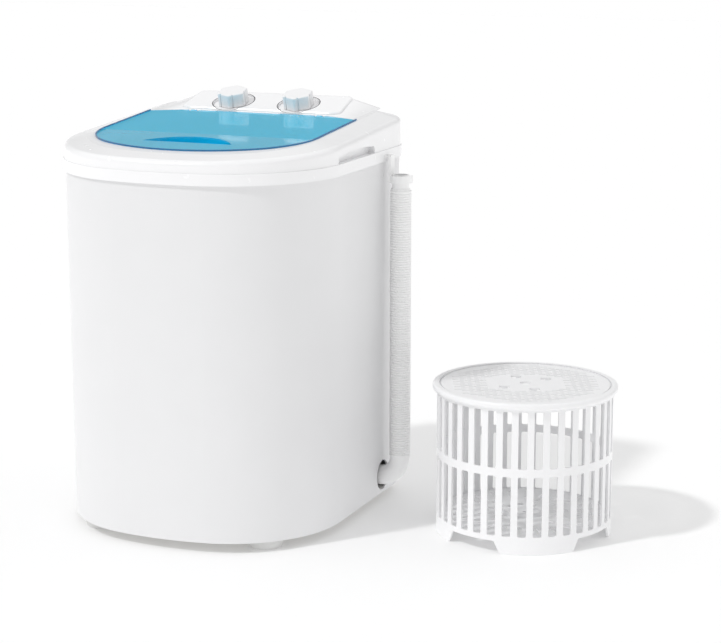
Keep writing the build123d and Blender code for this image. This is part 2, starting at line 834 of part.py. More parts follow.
# Wash tub: bowl with a rolled corner, flange, standing ring, hub, wash ribs and drain spout
tub_outer = tub_inner + tub_wall
tub_inside = tub_floor_z + tub_wall
corner_r = tub_inner - tub_corner
corner_z = tub_inside + tub_corner
outer_turn = tub_corner + tub_wall
flange_z = tub_top - tub_flange_thickness
bend = sqrt(0.5)
tub_screw_places = [(tub_boss_ring * cos(radians(turn)), tub_boss_ring * sin(radians(turn)))
                    for turn in range(tub_boss_turn, 360, 90)]
seal_seat = housing_top + 0.2
with BuildPart() as wash_tub:
    with BuildSketch(facing_front(0)) as bowl:
        with BuildLine():
            Line((0, tub_floor_z), (corner_r, tub_floor_z))
            ThreePointArc((corner_r, tub_floor_z), (corner_r + outer_turn * bend, corner_z - outer_turn * bend),
                          (tub_outer, corner_z))
            Polyline((tub_outer, corner_z), (tub_outer, flange_z), (tub_outer + tub_flange, flange_z),
                     (tub_outer + tub_flange, tub_top), (tub_inner, tub_top), (tub_inner, corner_z))
            ThreePointArc((tub_inner, corner_z), (corner_r + tub_corner * bend, corner_z - tub_corner * bend),
                          (corner_r, tub_inside))
            Polyline((corner_r, tub_inside), (0, tub_inside), (0, tub_floor_z))
        make_face()
    revolve(bowl.sketch, axis=spindle())
    disc(plate_top, tub_floor_z + 0.5, tub_ring_radius, tub_ring_radius - tub_ring_wall)
    disc(tub_hub_bottom, tub_floor_z + 0.5, tub_hub)
    disc(drain_tube_bottom, tub_floor_z + 0.5, drain_tube, x=drain_x, y=drain_y)
    disc(drain_tube_bottom, tub_inside, drain_bore, x=drain_x, y=drain_y, mode=Mode.SUBTRACT)
    for x, y in tub_screw_places:
        disc(plate_top, tub_floor_z + 0.5, tub_boss, x=x, y=y)
        disc(plate_top, tub_floor_z - 4, screw_radius + slip_gap, x=x, y=y, mode=Mode.SUBTRACT)
    with BuildSketch(level(corner_z)) as wash_ribs:
        with PolarLocations(tub_inner - 0.3, wash_rib_count, start_angle=30):
            Circle(wash_rib)
    extrude(wash_ribs.sketch, amount=gasket_bottom - 20 - corner_z)
    disc(tub_hub_bottom, seal_seat, housing_radius + 0.2, mode=Mode.SUBTRACT)
    disc(seal_seat, tub_inside, seal_radius + slip_gap, mode=Mode.SUBTRACT)
save(wash_tub.part, "wash_tub")
with BuildPart() as tub_screws:
    screws(tub_screw_places, plate_z, tub_floor_z - 5)
save(tub_screws.part, "tub_screws")

# Rubber ring between the cover's collar and the tub
with BuildPart() as tub_gasket:
    disc(collar_bottom + 0.5 - 4, tub_top - 0.5, tub_inner - 0.2, tub_mouth_radius + collar_wall + 0.2)
save(tub_gasket.part, "tub_gasket")

# Lint filter over the drain
with BuildPart() as drain_filter:
    disc(tub_inside, tub_inside + filter_thickness, filter_radius, x=drain_x, y=drain_y)
    disc(tub_inside - 5, tub_inside, drain_bore - 0.2, drain_bore - 1.6, x=drain_x, y=drain_y)
    with BuildSketch(level(tub_inside, drain_x, drain_y)) as mesh:
        with GridLocations(0, 3.6, 1, 3):
            SlotOverall(11, 1.8)
    extrude(mesh.sketch, amount=filter_thickness, mode=Mode.SUBTRACT)
save(drain_filter.part, "drain_filter")

# Steel drive plate that carries tub, bearing and motor
motor_bolt_places = [(motor_x + x, motor_y + y) for x in (-motor_bolt_ring / 2, motor_bolt_ring / 2)
                     for y in (-motor_bolt_ring / 2, motor_bolt_ring / 2)]
housing_bolt_places = [(x, y) for x in (-housing_bolt_ring * bend / 2, housing_bolt_ring * bend / 2)
                       for y in (-housing_bolt_ring * bend / 2, housing_bolt_ring * bend / 2)]
plate_mid = (plate_front + plate_rear) / 2
plate_length = plate_rear - plate_front
with BuildPart() as drive_plate:
    with BuildSketch(level(plate_z, 0, plate_mid)) as sheet:
        RectangleRounded(2 * plate_half, plate_length, plate_corner)
    extrude(sheet.sketch, amount=plate_thickness)
    for side in (-1, 1):
        block(side * (plate_half - plate_thickness / 2), plate_mid, plate_z - plate_flange,
              plate_thickness, plate_length - 2 * plate_corner, plate_flange)
    disc(plate_z, plate_top, housing_radius + 0.3, mode=Mode.SUBTRACT)
    disc(plate_z, plate_top, drain_tube + 3, x=drain_x, y=drain_y, mode=Mode.SUBTRACT)
    for x, y in post_places + tub_screw_places + housing_bolt_places + motor_bolt_places:
        disc(plate_z, plate_top, screw_radius + slip_gap, x=x, y=y, mode=Mode.SUBTRACT)
save(drive_plate.part, "drive_plate")
with BuildPart() as plate_screws:
    screws(post_places, plate_top, plate_z - 20, up=False)
save(plate_screws.part, "plate_screws")


def nuts(places, bottom, height):
    """Hexagon nuts on the shanks at the places."""
    with BuildSketch(level(bottom)) as hexagons:
        with Locations(*places):
            RegularPolygon(screw_head + 0.4, 6)
            Circle(screw_radius + slip_gap, mode=Mode.SUBTRACT)
    extrude(hexagons.sketch, amount=height)


# Bearing housing under the plate, with its bolts, two bushes and the shaft seal
housing_flange_z = plate_z - housing_flange_thickness
gusset_top = housing_flange - 2
gusset_foot = housing_radius - 1
gusset_low = housing_flange_z - gusset_drop
with BuildPart() as bearing_housing:
    disc(housing_flange_z, plate_z, housing_flange)
    disc(housing_bottom, housing_top, housing_radius)
    for turn in (0, 90):
        half = gusset_width / 2
        with BuildSketch(facing_front(half) if turn == 0 else facing_right(-half)) as gusset:
            with BuildLine():
                Polyline((-gusset_top, housing_flange_z), (-gusset_foot, gusset_low),
                         (gusset_foot, gusset_low), (gusset_top, housing_flange_z), close=True)
            make_face()
        extrude(gusset.sketch, amount=gusset_width)
    disc(housing_bottom, housing_top, housing_core, mode=Mode.SUBTRACT)
    for low in (housing_bottom, housing_top - bush_length):
        disc(low, low + bush_length, bush_radius + running_gap, mode=Mode.SUBTRACT)
    for x, y in housing_bolt_places:
        disc(housing_flange_z, plate_z, screw_radius + slip_gap, x=x, y=y, mode=Mode.SUBTRACT)
save(bearing_housing.part, "bearing_housing")
with BuildPart() as housing_bolts:
    screws(housing_bolt_places, housing_flange_z, plate_top + 4.5)
    nuts(housing_bolt_places, plate_top, 4)
save(housing_bolts.part, "housing_bolts")
with BuildPart() as bearing_bushes:
    for low in (housing_bottom, housing_top - bush_length):
        disc(low, low + bush_length, bush_radius, shaft_radius + running_gap)
save(bearing_bushes.part, "bearing_bushes")
with BuildPart() as shaft_seal:
    disc(seal_seat, tub_inside, seal_radius, shaft_radius + running_gap)
    disc(tub_inside, tub_inside + seal_flange_thickness, seal_flange, shaft_radius + running_gap)
save(shaft_seal.part, "shaft_seal")

# Drive shaft with its collar, pulley and nut
pulley_top = pulley_bottom + pulley_width
with BuildPart() as drive_shaft:
    disc(pulley_bottom + 1, shaft_top - 0.2, shaft_radius)
    disc(pulley_bottom - 8, pulley_bottom + 1, shaft_thread_radius)
    disc(pulley_top, housing_bottom - 0.3, bush_radius)
    disc(shaft_top - 16, shaft_top, screw_radius + slip_gap, mode=Mode.SUBTRACT)
save(drive_shaft.part, "drive_shaft")


def pulley(x, y, outer, root, bore, hub, name, windows=0):
    """A grooved pulley, with round windows in its web when it is large."""
    groove = belt_width / 2 + belt_gap
    middle = pulley_bottom + pulley_width / 2
    with BuildPart() as part:
        disc(pulley_bottom, pulley_top, outer, bore, x, y)
        disc(middle - groove, middle + groove, outer + 1, root, x, y, Mode.SUBTRACT)
        if windows:
            disc(middle + 2.5, pulley_top, root - 4, hub, x, y, Mode.SUBTRACT)
            disc(pulley_bottom, middle - 2.5, root - 4, hub, x, y, Mode.SUBTRACT)
            with BuildSketch(level(pulley_bottom, x, y)) as holes:
                with PolarLocations((root - 4 + hub) / 2, windows):
                    Circle(9)
            extrude(holes.sketch, amount=pulley_width, mode=Mode.SUBTRACT)
    save(part.part, name)


pulley(0, 0, driven_radius, driven_root, shaft_radius + running_gap, 14, "driven_pulley", 6)
pulley(motor_x, motor_y, motor_pulley_radius, motor_root, motor_shaft_radius + running_gap, 0, "motor_pulley")
with BuildPart() as pulley_nut:
    with BuildSketch(level(pulley_bottom - 6.5)) as hexagon:
        RegularPolygon(7.5, 6)
        Circle(shaft_thread_radius + slip_gap, mode=Mode.SUBTRACT)
    extrude(hexagon.sketch, amount=6.5)
save(pulley_nut.part, "pulley_nut")


def belt_outline(grow):
    """The closed line round both pulleys, outside their groove roots by grow."""
    span = sqrt(motor_x ** 2 + motor_y ** 2)
    heading = atan2(motor_y, motor_x)
    big = driven_root + grow
    small = motor_root + grow
    lean = asin((big - small) / span)
    ends = []
    for side in (-1, 1):
        turn = heading + side * (pi / 2 - lean)
        ends.append(((big * cos(turn), big * sin(turn)),
                     (motor_x + small * cos(turn), motor_y + small * sin(turn))))
    far = (-big * cos(heading), -big * sin(heading))
    near = (motor_x + small * cos(heading), motor_y + small * sin(heading))
    with BuildSketch() as sketch:
        with BuildLine():
            Line(ends[0][0], ends[0][1])
            ThreePointArc(ends[0][1], near, ends[1][1])
            Line(ends[1][1], ends[1][0])
            ThreePointArc(ends[1][0], far, ends[0][0])
        make_face()
    return sketch.sketch


# Drive belt
with BuildPart() as drive_belt:
    with BuildSketch(level(pulley_bottom + (pulley_width - belt_width) / 2)) as loop:
        add(belt_outline(belt_gap + belt_height))
        add(belt_outline(belt_gap), mode=Mode.SUBTRACT)
    extrude(loop.sketch, amount=belt_width)
save(drive_belt.part, "drive_belt")

# Motor hung from the plate on rubber mounts
motor_plate_z = motor_top - motor_plate
with BuildPart() as motor_housing:
    disc(motor_bottom, motor_top, motor_radius, x=motor_x, y=motor_y)
    disc(motor_bottom - 4, motor_bottom, 14, x=motor_x, y=motor_y)
    with BuildSketch(level(motor_plate_z, motor_x, motor_y)) as ears:
        RectangleRounded(motor_bolt_ring + 2 * mount_radius, motor_bolt_ring + 2 * mount_radius, mount_radius)
    extrude(ears.sketch, amount=motor_plate)
    with BuildSketch(level(motor_bottom + 12, motor_x, motor_y)) as cooling:
        with PolarLocations(motor_radius, 16):
            Rectangle(6, 5)
    extrude(cooling.sketch, amount=26, mode=Mode.SUBTRACT)
    disc(motor_bottom - 4, motor_top - 8, motor_shaft_radius + running_gap, x=motor_x, y=motor_y,
         mode=Mode.SUBTRACT)
    for x, y in motor_bolt_places:
        disc(motor_plate_z, motor_top, screw_radius + slip_gap, x=x, y=y, mode=Mode.SUBTRACT)
save(motor_housing.part, "motor_housing")
with BuildPart() as motor_shaft:
    disc(pulley_bottom - 3, motor_top - 10, motor_shaft_radius, x=motor_x, y=motor_y)
save(motor_shaft.part, "motor_shaft")
with BuildPart() as motor_mounts:
    for x, y in motor_bolt_places:
        disc(motor_top, plate_z, mount_radius, screw_radius + slip_gap, x, y)
save(motor_mounts.part, "motor_mounts")
with BuildPart() as motor_bolts:
    screws(motor_bolt_places, plate_top, motor_plate_z - 5, up=False)
    nuts(motor_bolt_places, motor_plate_z - 4, 4)
save(motor_bolts.part, "motor_bolts")

# Run capacitor in its cup
with BuildPart() as run_capacitor:
    disc(pan_top, pan_top + capacitor_height, capacitor_radius, x=capacitor_x, y=capacitor_y)
save(run_capacitor.part, "run_capacitor")

# Pulsator with its fins, water holes and screw
with BuildPart() as pulsator:
    with BuildSketch(facing_front(0)) as dish:
        with BuildLine():
            Polyline((pulsator_hub - 2, pulsator_bottom), (pulsator_radius, pulsator_bottom),
                     (pulsator_radius, pulsator_bottom + 2 * pulsator_thickness),
                     (pulsator_radius - 4, pulsator_bottom + 2 * pulsator_thickness),
                     (pulsator_radius - 8, pulsator_bottom + pulsator_thickness),
                     (3 * pulsator_hub, pulsator_bottom + pulsator_thickness),
                     (pulsator_hub - 2, pulsator_bottom + pulsator_rise), close=True)
        make_face()
    revolve(dish.sketch, axis=spindle())
    disc(tub_inside + seal_flange_thickness + 0.8, shaft_top, pulsator_hub)
    with BuildSketch(level(pulsator_bottom + 1)) as fins:
        with PolarLocations((pulsator_radius + pulsator_hub) / 2 - 2, pulsator_fins):
            SlotOverall(pulsator_radius - pulsator_hub - 2, fin_width)
    extrude(fins.sketch, amount=fin_height, taper=12)
    disc(tub_inside, shaft_top, shaft_radius + slip_gap, mode=Mode.SUBTRACT)
    with BuildSketch(level(pulsator_bottom)) as water_holes:
        for ring_radius, number in ((52, 12), (70, 16)):
            with PolarLocations(ring_radius, number, start_angle=11.25):
                Circle(2.5)
    extrude(water_holes.sketch, amount=pulsator_rise, mode=Mode.SUBTRACT)
save(pulsator.part, "pulsator")
with BuildPart() as pulsator_screw:
    disc(shaft_top, shaft_top + 3, 7)
    disc(shaft_top - 14, shaft_top, screw_radius)
save(pulsator_screw.part, "pulsator_screw")


def reach_right(start, end, radius, bore=0.0, mode=Mode.ADD):
    """A cylinder or ring along +X through the drain port."""
    with BuildSketch(facing_right(start, port_y, port_z)) as profile:
        Circle(radius)
        if bore:
            Circle(bore, mode=Mode.SUBTRACT)
    extrude(profile.sketch, amount=end - start, mode=mode)


# Drain outlet: fixed spigot on its saddle
saddle_x = outlet_start + 30
with BuildPart() as drain_outlet:
    reach_right(outlet_start, outlet_end, outlet_radius)
    block(saddle_x, port_y, pan_top, 4, 40, port_z - pan_top + outlet_radius + 4)
    block(saddle_x, port_y, pan_top, 18, 40, 3)
    reach_right(outlet_start, outlet_end, outlet_bore, mode=Mode.SUBTRACT)
save(drain_outlet.part, "drain_outlet")

# Drain hose inside the washer, from the tub's spout to the outlet
inner_hose_end = outlet_start + 16
inner_hose_route = [(drain_x, drain_y, drain_tube_bottom + 16), (drain_x, drain_y, port_z),
                    (inner_hose_turn, port_y, port_z), (inner_hose_end, port_y, port_z)]
with BuildPart() as inner_drain_hose:
    with BuildLine(Plane(origin=(washer_x, washer_y, 0))) as route:
        FilletPolyline(*inner_hose_route, radius=[inner_hose_bend, inner_hose_side_bend])
    with BuildSketch(level(drain_tube_bottom + 16, drain_x, drain_y)) as hose_ring:
        Circle(inner_hose_radius)
        Circle(drain_tube + slip_gap, mode=Mode.SUBTRACT)
    sweep(hose_ring.sketch, path=route.line)
save(inner_drain_hose.part, "inner_drain_hose")
with BuildPart() as hose_clamps:
    disc(drain_tube_bottom + 5, drain_tube_bottom + 11, inner_hose_radius + 1.4, inner_hose_radius + slip_gap,
         drain_x, drain_y)
    reach_right(outlet_start + 5, outlet_start + 11, inner_hose_radius + 1.4, inner_hose_radius + slip_gap)
save(hose_clamps.part, "hose_clamps")

# Swivelling elbow outside the port
with BuildPart() as hose_elbow:
    with BuildLine(facing_front(port_y)) as elbow_path:
        Polyline((elbow_tail, port_z), (hose_x - elbow_bend, port_z))
        RadiusArc((hose_x - elbow_bend, port_z), (hose_x, port_z + elbow_bend), -elbow_bend)
        Line((hose_x, port_z + elbow_bend), (hose_x, hose_bottom))
    for radius, mode in ((elbow_radius, Mode.ADD), (outlet_bore, Mode.SUBTRACT)):
        with BuildSketch(facing_right(elbow_tail, port_y, port_z)) as elbow_section:
            Circle(radius)
        sweep(elbow_section.sketch, path=elbow_path.line, mode=mode)
    reach_right(elbow_tail, outlet_end + 0.3, outlet_radius + slip_gap, mode=Mode.SUBTRACT)
save(hose_elbow.part, "hose_elbow")

# Ribbed drain hose, with its bore
with BuildPart() as drain_hose:
    pitch = (hose_top - hose_bottom - 2 * hose_end) / hose_ribs
    circles = [(hose_bottom, hose_crest)]
    for index in range(hose_ribs):
        foot = hose_bottom + hose_end + index * pitch
        circles += [(foot, hose_root), (foot + 0.2 * pitch, hose_crest), (foot + 0.6 * pitch, hose_crest),
                    (foot + 0.8 * pitch, hose_root)]
    circles += [(hose_top - hose_end, hose_root), (hose_top, hose_crest)]
    rings = []
    for z, radius in circles:
        with BuildSketch(level(z, hose_x, port_y)) as ring:
            Circle(radius)
        rings.append(ring.sketch)
    loft(sections=rings, ruled=True)
    disc(hose_bottom, hose_top, hose_bore, x=hose_x, y=port_y, mode=Mode.SUBTRACT)
save(drain_hose.part, "drain_hose")

# Plain cuff at the end of the hose
with BuildPart() as hose_cuff:
    disc(hose_top, cuff_top, cuff_radius, x=hose_x, y=port_y)
    disc(hose_top, hose_top + 2.5, hose_root, x=hose_x, y=port_y)
    disc(hose_top, cuff_top, cuff_bore, x=hose_x, y=port_y, mode=Mode.SUBTRACT)
save(hose_cuff.part, "hose_cuff")

# Hook that holds the cuff: tab in the cover's skirt, strap and open clip
clip_inner = cuff_radius + clip_gap
strap_x = hose_x - clip_inner - hook_thickness / 2
tab_start = half_width + pan_gap + 0.1
with BuildPart() as hose_hook:
    with BuildSketch(level(clip_bottom, hose_x, port_y)) as clip:
        Circle(clip_inner + clip_wall)
        with Locations((0, clip_arm / 2)):
            Rectangle(2 * (clip_inner + clip_wall), clip_arm)
        Circle(clip_inner, mode=Mode.SUBTRACT)
        with Locations((0, 20)):
            Rectangle(2 * clip_inner, 40, mode=Mode.SUBTRACT)
    extrude(clip.sketch, amount=clip_top - clip_bottom)
    block(strap_x, port_y, clip_bottom, hook_thickness, hook_width, hook_top - clip_bottom)
    tab_length = strap_x - tab_start
    block(tab_start + tab_length / 2, port_y, hook_top - hook_tab_height, tab_length, hook_tab_width,
          hook_tab_height)
save(hose_hook.part, "hose_hook")

# Rubber gland for the supply cord at the back
gland_seat = rear_reach - draft_at(gland_z) + 2 * slip_gap
gland_inner_end = gland_seat - gland_neck_length
with BuildPart() as cord_gland:
    for start, end, radius in ((gland_seat + gland_flange, gland_seat, gland_flange_radius),
                               (gland_seat, gland_inner_end, gland_hole - 2 * slip_gap)):
        with BuildSketch(facing_front(start, gland_x, gland_z)):
            Circle(radius)
            Circle(gland_bore, mode=Mode.SUBTRACT)
        extrude(amount=start - end)
save(cord_gland.part, "cord_gland")

# Supply lead inside the washer, from the gland up to the timer's side
unit_middle = panel(0, bracket_lift - bracket_thickness - unit_depth / 2).origin
unit_y = unit_middle.Y - washer_y
unit_side_x = knob_places[0] - unit_side / 2
lead_route = [(gland_x, gland_inner_end, gland_z), (gland_x, gland_inner_end - lead_run, gland_z),
              (gland_x, gland_inner_end - lead_run, unit_middle.Z),
              (unit_side_x - 2 * lead_run, unit_y, unit_middle.Z), (unit_side_x, unit_y, unit_middle.Z)]
with BuildPart() as supply_lead:
    with BuildLine(Plane(origin=(washer_x, washer_y, 0))) as lead_path:
        FilletPolyline(*lead_route, radius=lead_bend)
    with BuildSketch(facing_front(gland_inner_end, gland_x, gland_z)) as lead_section:
        Circle(lead_radius)
    sweep(lead_section.sketch, path=lead_path.line)
save(supply_lead.part, "supply_lead")

# Louvred cover over the rear opening, and its screws
access_y = rear_reach - draft_at(access_top + access_lap) + slip_gap
with BuildPart() as rear_access_cover:
    with BuildSketch(facing_front(access_y + access_thickness, 0, access_mid)):
        RectangleRounded(2 * (access_half + access_lap), access_top - access_bottom + 2 * access_lap, 10)
        with GridLocations(0, 11, 1, 7):
            SlotOverall(110, 4, mode=Mode.SUBTRACT)
        with Locations(*[(x, z - access_mid) for x, z in access_screws]):
            Circle(screw_radius + slip_gap, mode=Mode.SUBTRACT)
    extrude(amount=access_thickness)
save(rear_access_cover.part, "rear_access_cover")
with BuildPart() as rear_screws:
    for x, z in access_screws:
        with BuildSketch(facing_front(access_y + access_thickness + screw_head_height, x, z)):
            Circle(screw_head)
        extrude(amount=screw_head_height)
        with BuildSketch(facing_front(access_y + access_thickness, x, z)):
            Circle(screw_radius)
        extrude(amount=access_thickness + 7)
save(rear_screws.part, "rear_screws")

# Spin basket: slotted wall in two rows, rolled rim, slotted floor, hub and four feet
def basket_ring(bottom, top, radius, bore=0.0, mode=Mode.ADD):
    disc(bottom, top, radius, bore, basket_x, basket_y, mode)


def around_basket(radius, angle):
    """An upright plane facing outwards at this radius and angle from the basket's axis."""
    heading = (cos(radians(angle)), sin(radians(angle)))
    middle = level(0, basket_x, basket_y).origin
    return Plane(origin=middle + Vector(*heading, 0) * radius, x_dir=(-heading[1], heading[0], 0),
                 z_dir=(*heading, 0))


basket_inner = basket_wall_radius - basket_wall
with BuildPart() as spin_basket:
    basket_ring(0, basket_top - rim_height, basket_wall_radius, basket_inner)
    basket_ring(basket_top - rim_height, basket_top, basket_rim, basket_inner)
    fillet(spin_basket.edges().filter_by(GeomType.CIRCLE).group_by(SortBy.RADIUS)[-1], radius=rim_round)
    collar_bottom = basket_top - rim_height - rim_collar
    basket_ring(collar_bottom, basket_top - rim_height, basket_wall_radius + 1, basket_inner)
    lid_ledge = basket_lid_top - basket_lid_thickness - slip_gap
    basket_ring(lid_ledge - 2, lid_ledge, basket_inner + 0.5, basket_inner - basket_lid_lip - 2)
    basket_ring(basket_floor_z, basket_floor_z + basket_floor, basket_inner + 0.5)
    basket_ring(basket_floor_z, basket_floor_z + basket_hub_height, basket_hub_radius)
    slot_turns = [slot_turn + index * 360 / slot_count for index in range(slot_count)]
    slot_planes = [around_basket(basket_inner - 8, angle) for angle in slot_turns]
    for bottom, top in ((upper_slot_bottom, upper_slot_top), (lower_slot_bottom, lower_slot_top)):
        with BuildSketch(*slot_planes) as wall_slots:
            with Locations((0, (bottom + top) / 2)):
                RectangleRounded(slot_width, top - bottom, slot_corner)
        extrude(wall_slots.sketch, amount=20, mode=Mode.SUBTRACT)
    gap_planes = [around_basket(basket_inner - 20, basket_foot_turn + 45 + 90 * index) for index in range(4)]
    top_half = basket_wall_radius * sin(radians(basket_foot_gap / 2))
    bottom_half = basket_wall_radius * sin(radians(basket_foot_gap / 2 + basket_foot_flare))
    below = bottom_half + 2 * basket_foot_round
    with BuildSketch(*gap_planes) as foot_gaps:
        with BuildLine():
            Polyline((-below, 0), (-below, -basket_foot_round), (below, -basket_foot_round), (below, 0),
                     (bottom_half, 0), (top_half, basket_foot_height), (-top_half, basket_foot_height),
                     (-bottom_half, 0), close=True)
        make_face()
        foot_corners = foot_gaps.vertices().filter_by(
            lambda v: abs(v.Y) < slip_gap and abs(v.X) < bottom_half + slip_gap)
        fillet(foot_corners, radius=basket_foot_round)
        fillet(foot_gaps.vertices().group_by(Axis.Y)[-1], radius=foot_gap_corner)
    extrude(foot_gaps.sketch, amount=30, mode=Mode.SUBTRACT)
    with BuildSketch(level(basket_floor_z, basket_x, basket_y)) as floor_slots:
        for ring_radius, number, length in ((45, 12, 24), (80, 24, 30)):
            with PolarLocations(ring_radius, number):
                SlotOverall(length, 5)
        with PolarLocations(16, 6):
            Circle(4)
    extrude(floor_slots.sketch, amount=basket_hub_height, mode=Mode.SUBTRACT)
save(spin_basket.part, "spin_basket")

# Basket lid: a disc of short slits with a finger hole in the middle
def slit_places():
    """Centres of the slits in staggered rows that stay inside the lid and off its middle."""
    places = []
    rows = int((basket_lid_radius - slit_margin) / slit_row)
    for row in range(-rows, rows + 1):
        shift = slit_pitch / 2 if row % 2 else 0
        for column in range(-6, 7):
            x = column * slit_pitch + shift
            y = row * slit_row
            if sqrt((abs(x) + slit_length / 2) ** 2 + y ** 2) > basket_lid_radius - slit_margin:
                continue
            if sqrt(max(abs(x) - slit_length / 2, 0) ** 2 + y ** 2) < lid_plain_radius:
                continue
            places.append((x, y))
    return places


with BuildPart() as basket_lid:
    basket_ring(basket_lid_top - basket_lid_thickness, basket_lid_top, basket_lid_radius)
    turned = Plane(origin=level(basket_lid_top - basket_lid_thickness, basket_x, basket_y).origin,
                   x_dir=(cos(radians(slit_turn)), sin(radians(slit_turn)), 0), z_dir=(0, 0, 1))
    with BuildSketch(turned) as slits:
        with Locations(*slit_places()):
            Rectangle(slit_length, slit_width)
        Circle(finger_hole_radius)
        with Locations(*[(lid_hole_ring * cos(radians(turn)), lid_hole_ring * sin(radians(turn)))
                         for turn in lid_hole_turns]):
            RectangleRounded(lid_hole_side, lid_hole_side, lid_hole_corner)
    extrude(slits.sketch, amount=basket_lid_thickness, mode=Mode.SUBTRACT)
save(basket_lid.part, "basket_lid")
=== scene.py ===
import json
import math

import bmesh
import bpy
from bpy.props import FloatProperty, FloatVectorProperty, IntProperty, PointerProperty
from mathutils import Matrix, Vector


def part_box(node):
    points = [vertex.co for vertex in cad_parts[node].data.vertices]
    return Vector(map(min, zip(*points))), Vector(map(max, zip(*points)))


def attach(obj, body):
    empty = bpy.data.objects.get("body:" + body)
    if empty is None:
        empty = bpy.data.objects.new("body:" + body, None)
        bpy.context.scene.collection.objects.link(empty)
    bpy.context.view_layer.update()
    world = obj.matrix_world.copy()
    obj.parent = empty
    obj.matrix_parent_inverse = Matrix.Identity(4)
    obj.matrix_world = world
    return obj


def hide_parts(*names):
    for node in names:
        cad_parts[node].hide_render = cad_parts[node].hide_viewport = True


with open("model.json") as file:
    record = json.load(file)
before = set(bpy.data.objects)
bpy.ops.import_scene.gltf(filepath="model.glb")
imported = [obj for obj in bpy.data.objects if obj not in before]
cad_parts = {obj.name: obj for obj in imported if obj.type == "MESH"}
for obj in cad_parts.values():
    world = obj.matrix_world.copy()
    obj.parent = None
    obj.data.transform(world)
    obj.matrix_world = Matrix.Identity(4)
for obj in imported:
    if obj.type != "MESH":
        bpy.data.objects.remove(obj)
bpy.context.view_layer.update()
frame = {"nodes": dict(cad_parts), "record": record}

bl_info = {
    "name": "Portable washing machine",
    "version": (1, 0, 0),
    "blender": (4, 5, 0),
    "location": "View3D > Sidebar > Washer",
    "description": "Finishes a portable washing machine with its drain hose and spin basket",
    "category": "Object",
}

SLOT_OF = {part["node"]: part["material_slot"] for part in frame["record"]["subparts"]}
MM = 0.001
WHITE = (1, 1, 1, 1)

# Points closer than this are one, and edges sharper than this are shown sharp
MERGE = 0.01 * MM
SHARP_ANGLE = math.radians(35)

# Where the drain hose runs, as the part's source has it: its axis, and the faces it stands between
HOSE_LOW, HOSE_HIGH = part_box("drain_hose")
HOSE_AXIS = ((HOSE_LOW + HOSE_HIGH) / 2).to_2d()

# One rib of the hose, as shares of the ribs' pitch: foot, crest from and to, foot again
RIB_SHARES = (0.12, 0.3, 0.62, 0.8)

# Where the hose and the lead inside run, as the part's source has it: radius and points in millimetres
INNER_LINES = (
    ("inner_drain_hose", 12.1, ((-106.2, 46.0, 148.0), (-106.2, 46.0, 35.7), (-71.2, 101.7, 35.7),
                                (-28.2, 101.7, 35.7))),
    ("supply_lead", 3.8, ((-291.2, 177.77, 62.0), (-291.2, 159.77, 62.0), (-291.2, 159.77, 80.0),
                          (-291.2, 159.77, 443.0), (-291.2, 159.77, 483.13), (-257.1, 135.75, 483.13),
                          (-221.1, 135.75, 483.13))),
)

# The lid's plate: its front edge, the line where its front zone starts, and how much flatter that
# zone mirrors the room
LID_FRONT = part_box("lid")[0].y
LID_CREASE = LID_FRONT + 97 * MM
LID_FLATTER = 0.05
# Faces that turn and stand off this little belong to the plate, and the bead stops this far short of
# the plate's rear edge, where the hinges are
PLATE_TURN = 0.99
PLATE_STEP = 0.2 * MM
BEAD_SHORT_OF_REAR = 12 * MM

# The knobs' axes on the tilted console, and the thin dark line drawn round each well's rim
KNOB_CENTRES = ((-0.2021, 0.1297, 0.5048), (-0.1103, 0.1297, 0.5048))
KNOB_AXIS = (0.0, -0.268737, 0.963214)
RING_RADIUS = 27.6 * MM
RING_WIDTH = 1.2 * MM

# The painted shade on the basket lid's slits stays this far inside its edge
SLITS_INSET = 3 * MM

# Refraction of the plastics, a moulding's tone patches, the tone of metal in its marks, and the
# spread of roughness round its middle value
PLASTIC_IOR = 1.5
CLEAR_IOR = 1.65
PATCH_MM = 60.0
METAL_SHADE = 0.85
PLASTIC_SPREAD = 0.04
METAL_SPREAD = 0.08

# Where the photograph was taken from, and which way it looks
CAMERA_PLACE = (1.0038, -2.369, 0.7995)
CAMERA_AIM = (-0.3725, 0.9047, -0.2069)

# The floor's half width, how far it lies under the feet, and its glow to the camera and to other rays
FLOOR_HALF = 9.0
FLOOR_DROP = 0.2 * MM
FLOOR_GLOW_SEEN = 0.09
FLOOR_GLOW = 0.3

# What a gloss surface mirrors, by the height of the mirrored direction: the white backdrop up to the
# first height, the dimmer room from the second, and a broad white cloth overhead from there up
BACKDROP_TOP = (0.1, 0.18)
ROOM_TONE = 0.33
CLOTH_FOOT = (0.35, 0.5)
CLOTH_TONE = 0.8


def linear(code):
    """The linear colour of an sRGB hex value such as "F2F2F3"."""
    channels = [int(code[place:place + 2], 16) / 255 for place in (0, 2, 4)]
    return tuple(c / 12.92 if c <= 0.04045 else ((c + 0.055) / 1.055) ** 2.4 for c in channels)


def colour(name, code, text):
    """A colour that a user can change."""
    return FloatVectorProperty(name=name, description=text, default=linear(code), subtype="COLOR",
                               size=3, min=0.0, max=1.0)


def length(name, size_mm, text):
    """A length that a user can change."""
    return FloatProperty(name=name, description=text, default=size_mm * MM, unit="LENGTH",
                         subtype="DISTANCE", min=0.0)


def strength(name, size, text):
    """A light's strength that a user can change."""
    return FloatProperty(name=name, description=text, default=size, min=0.0)


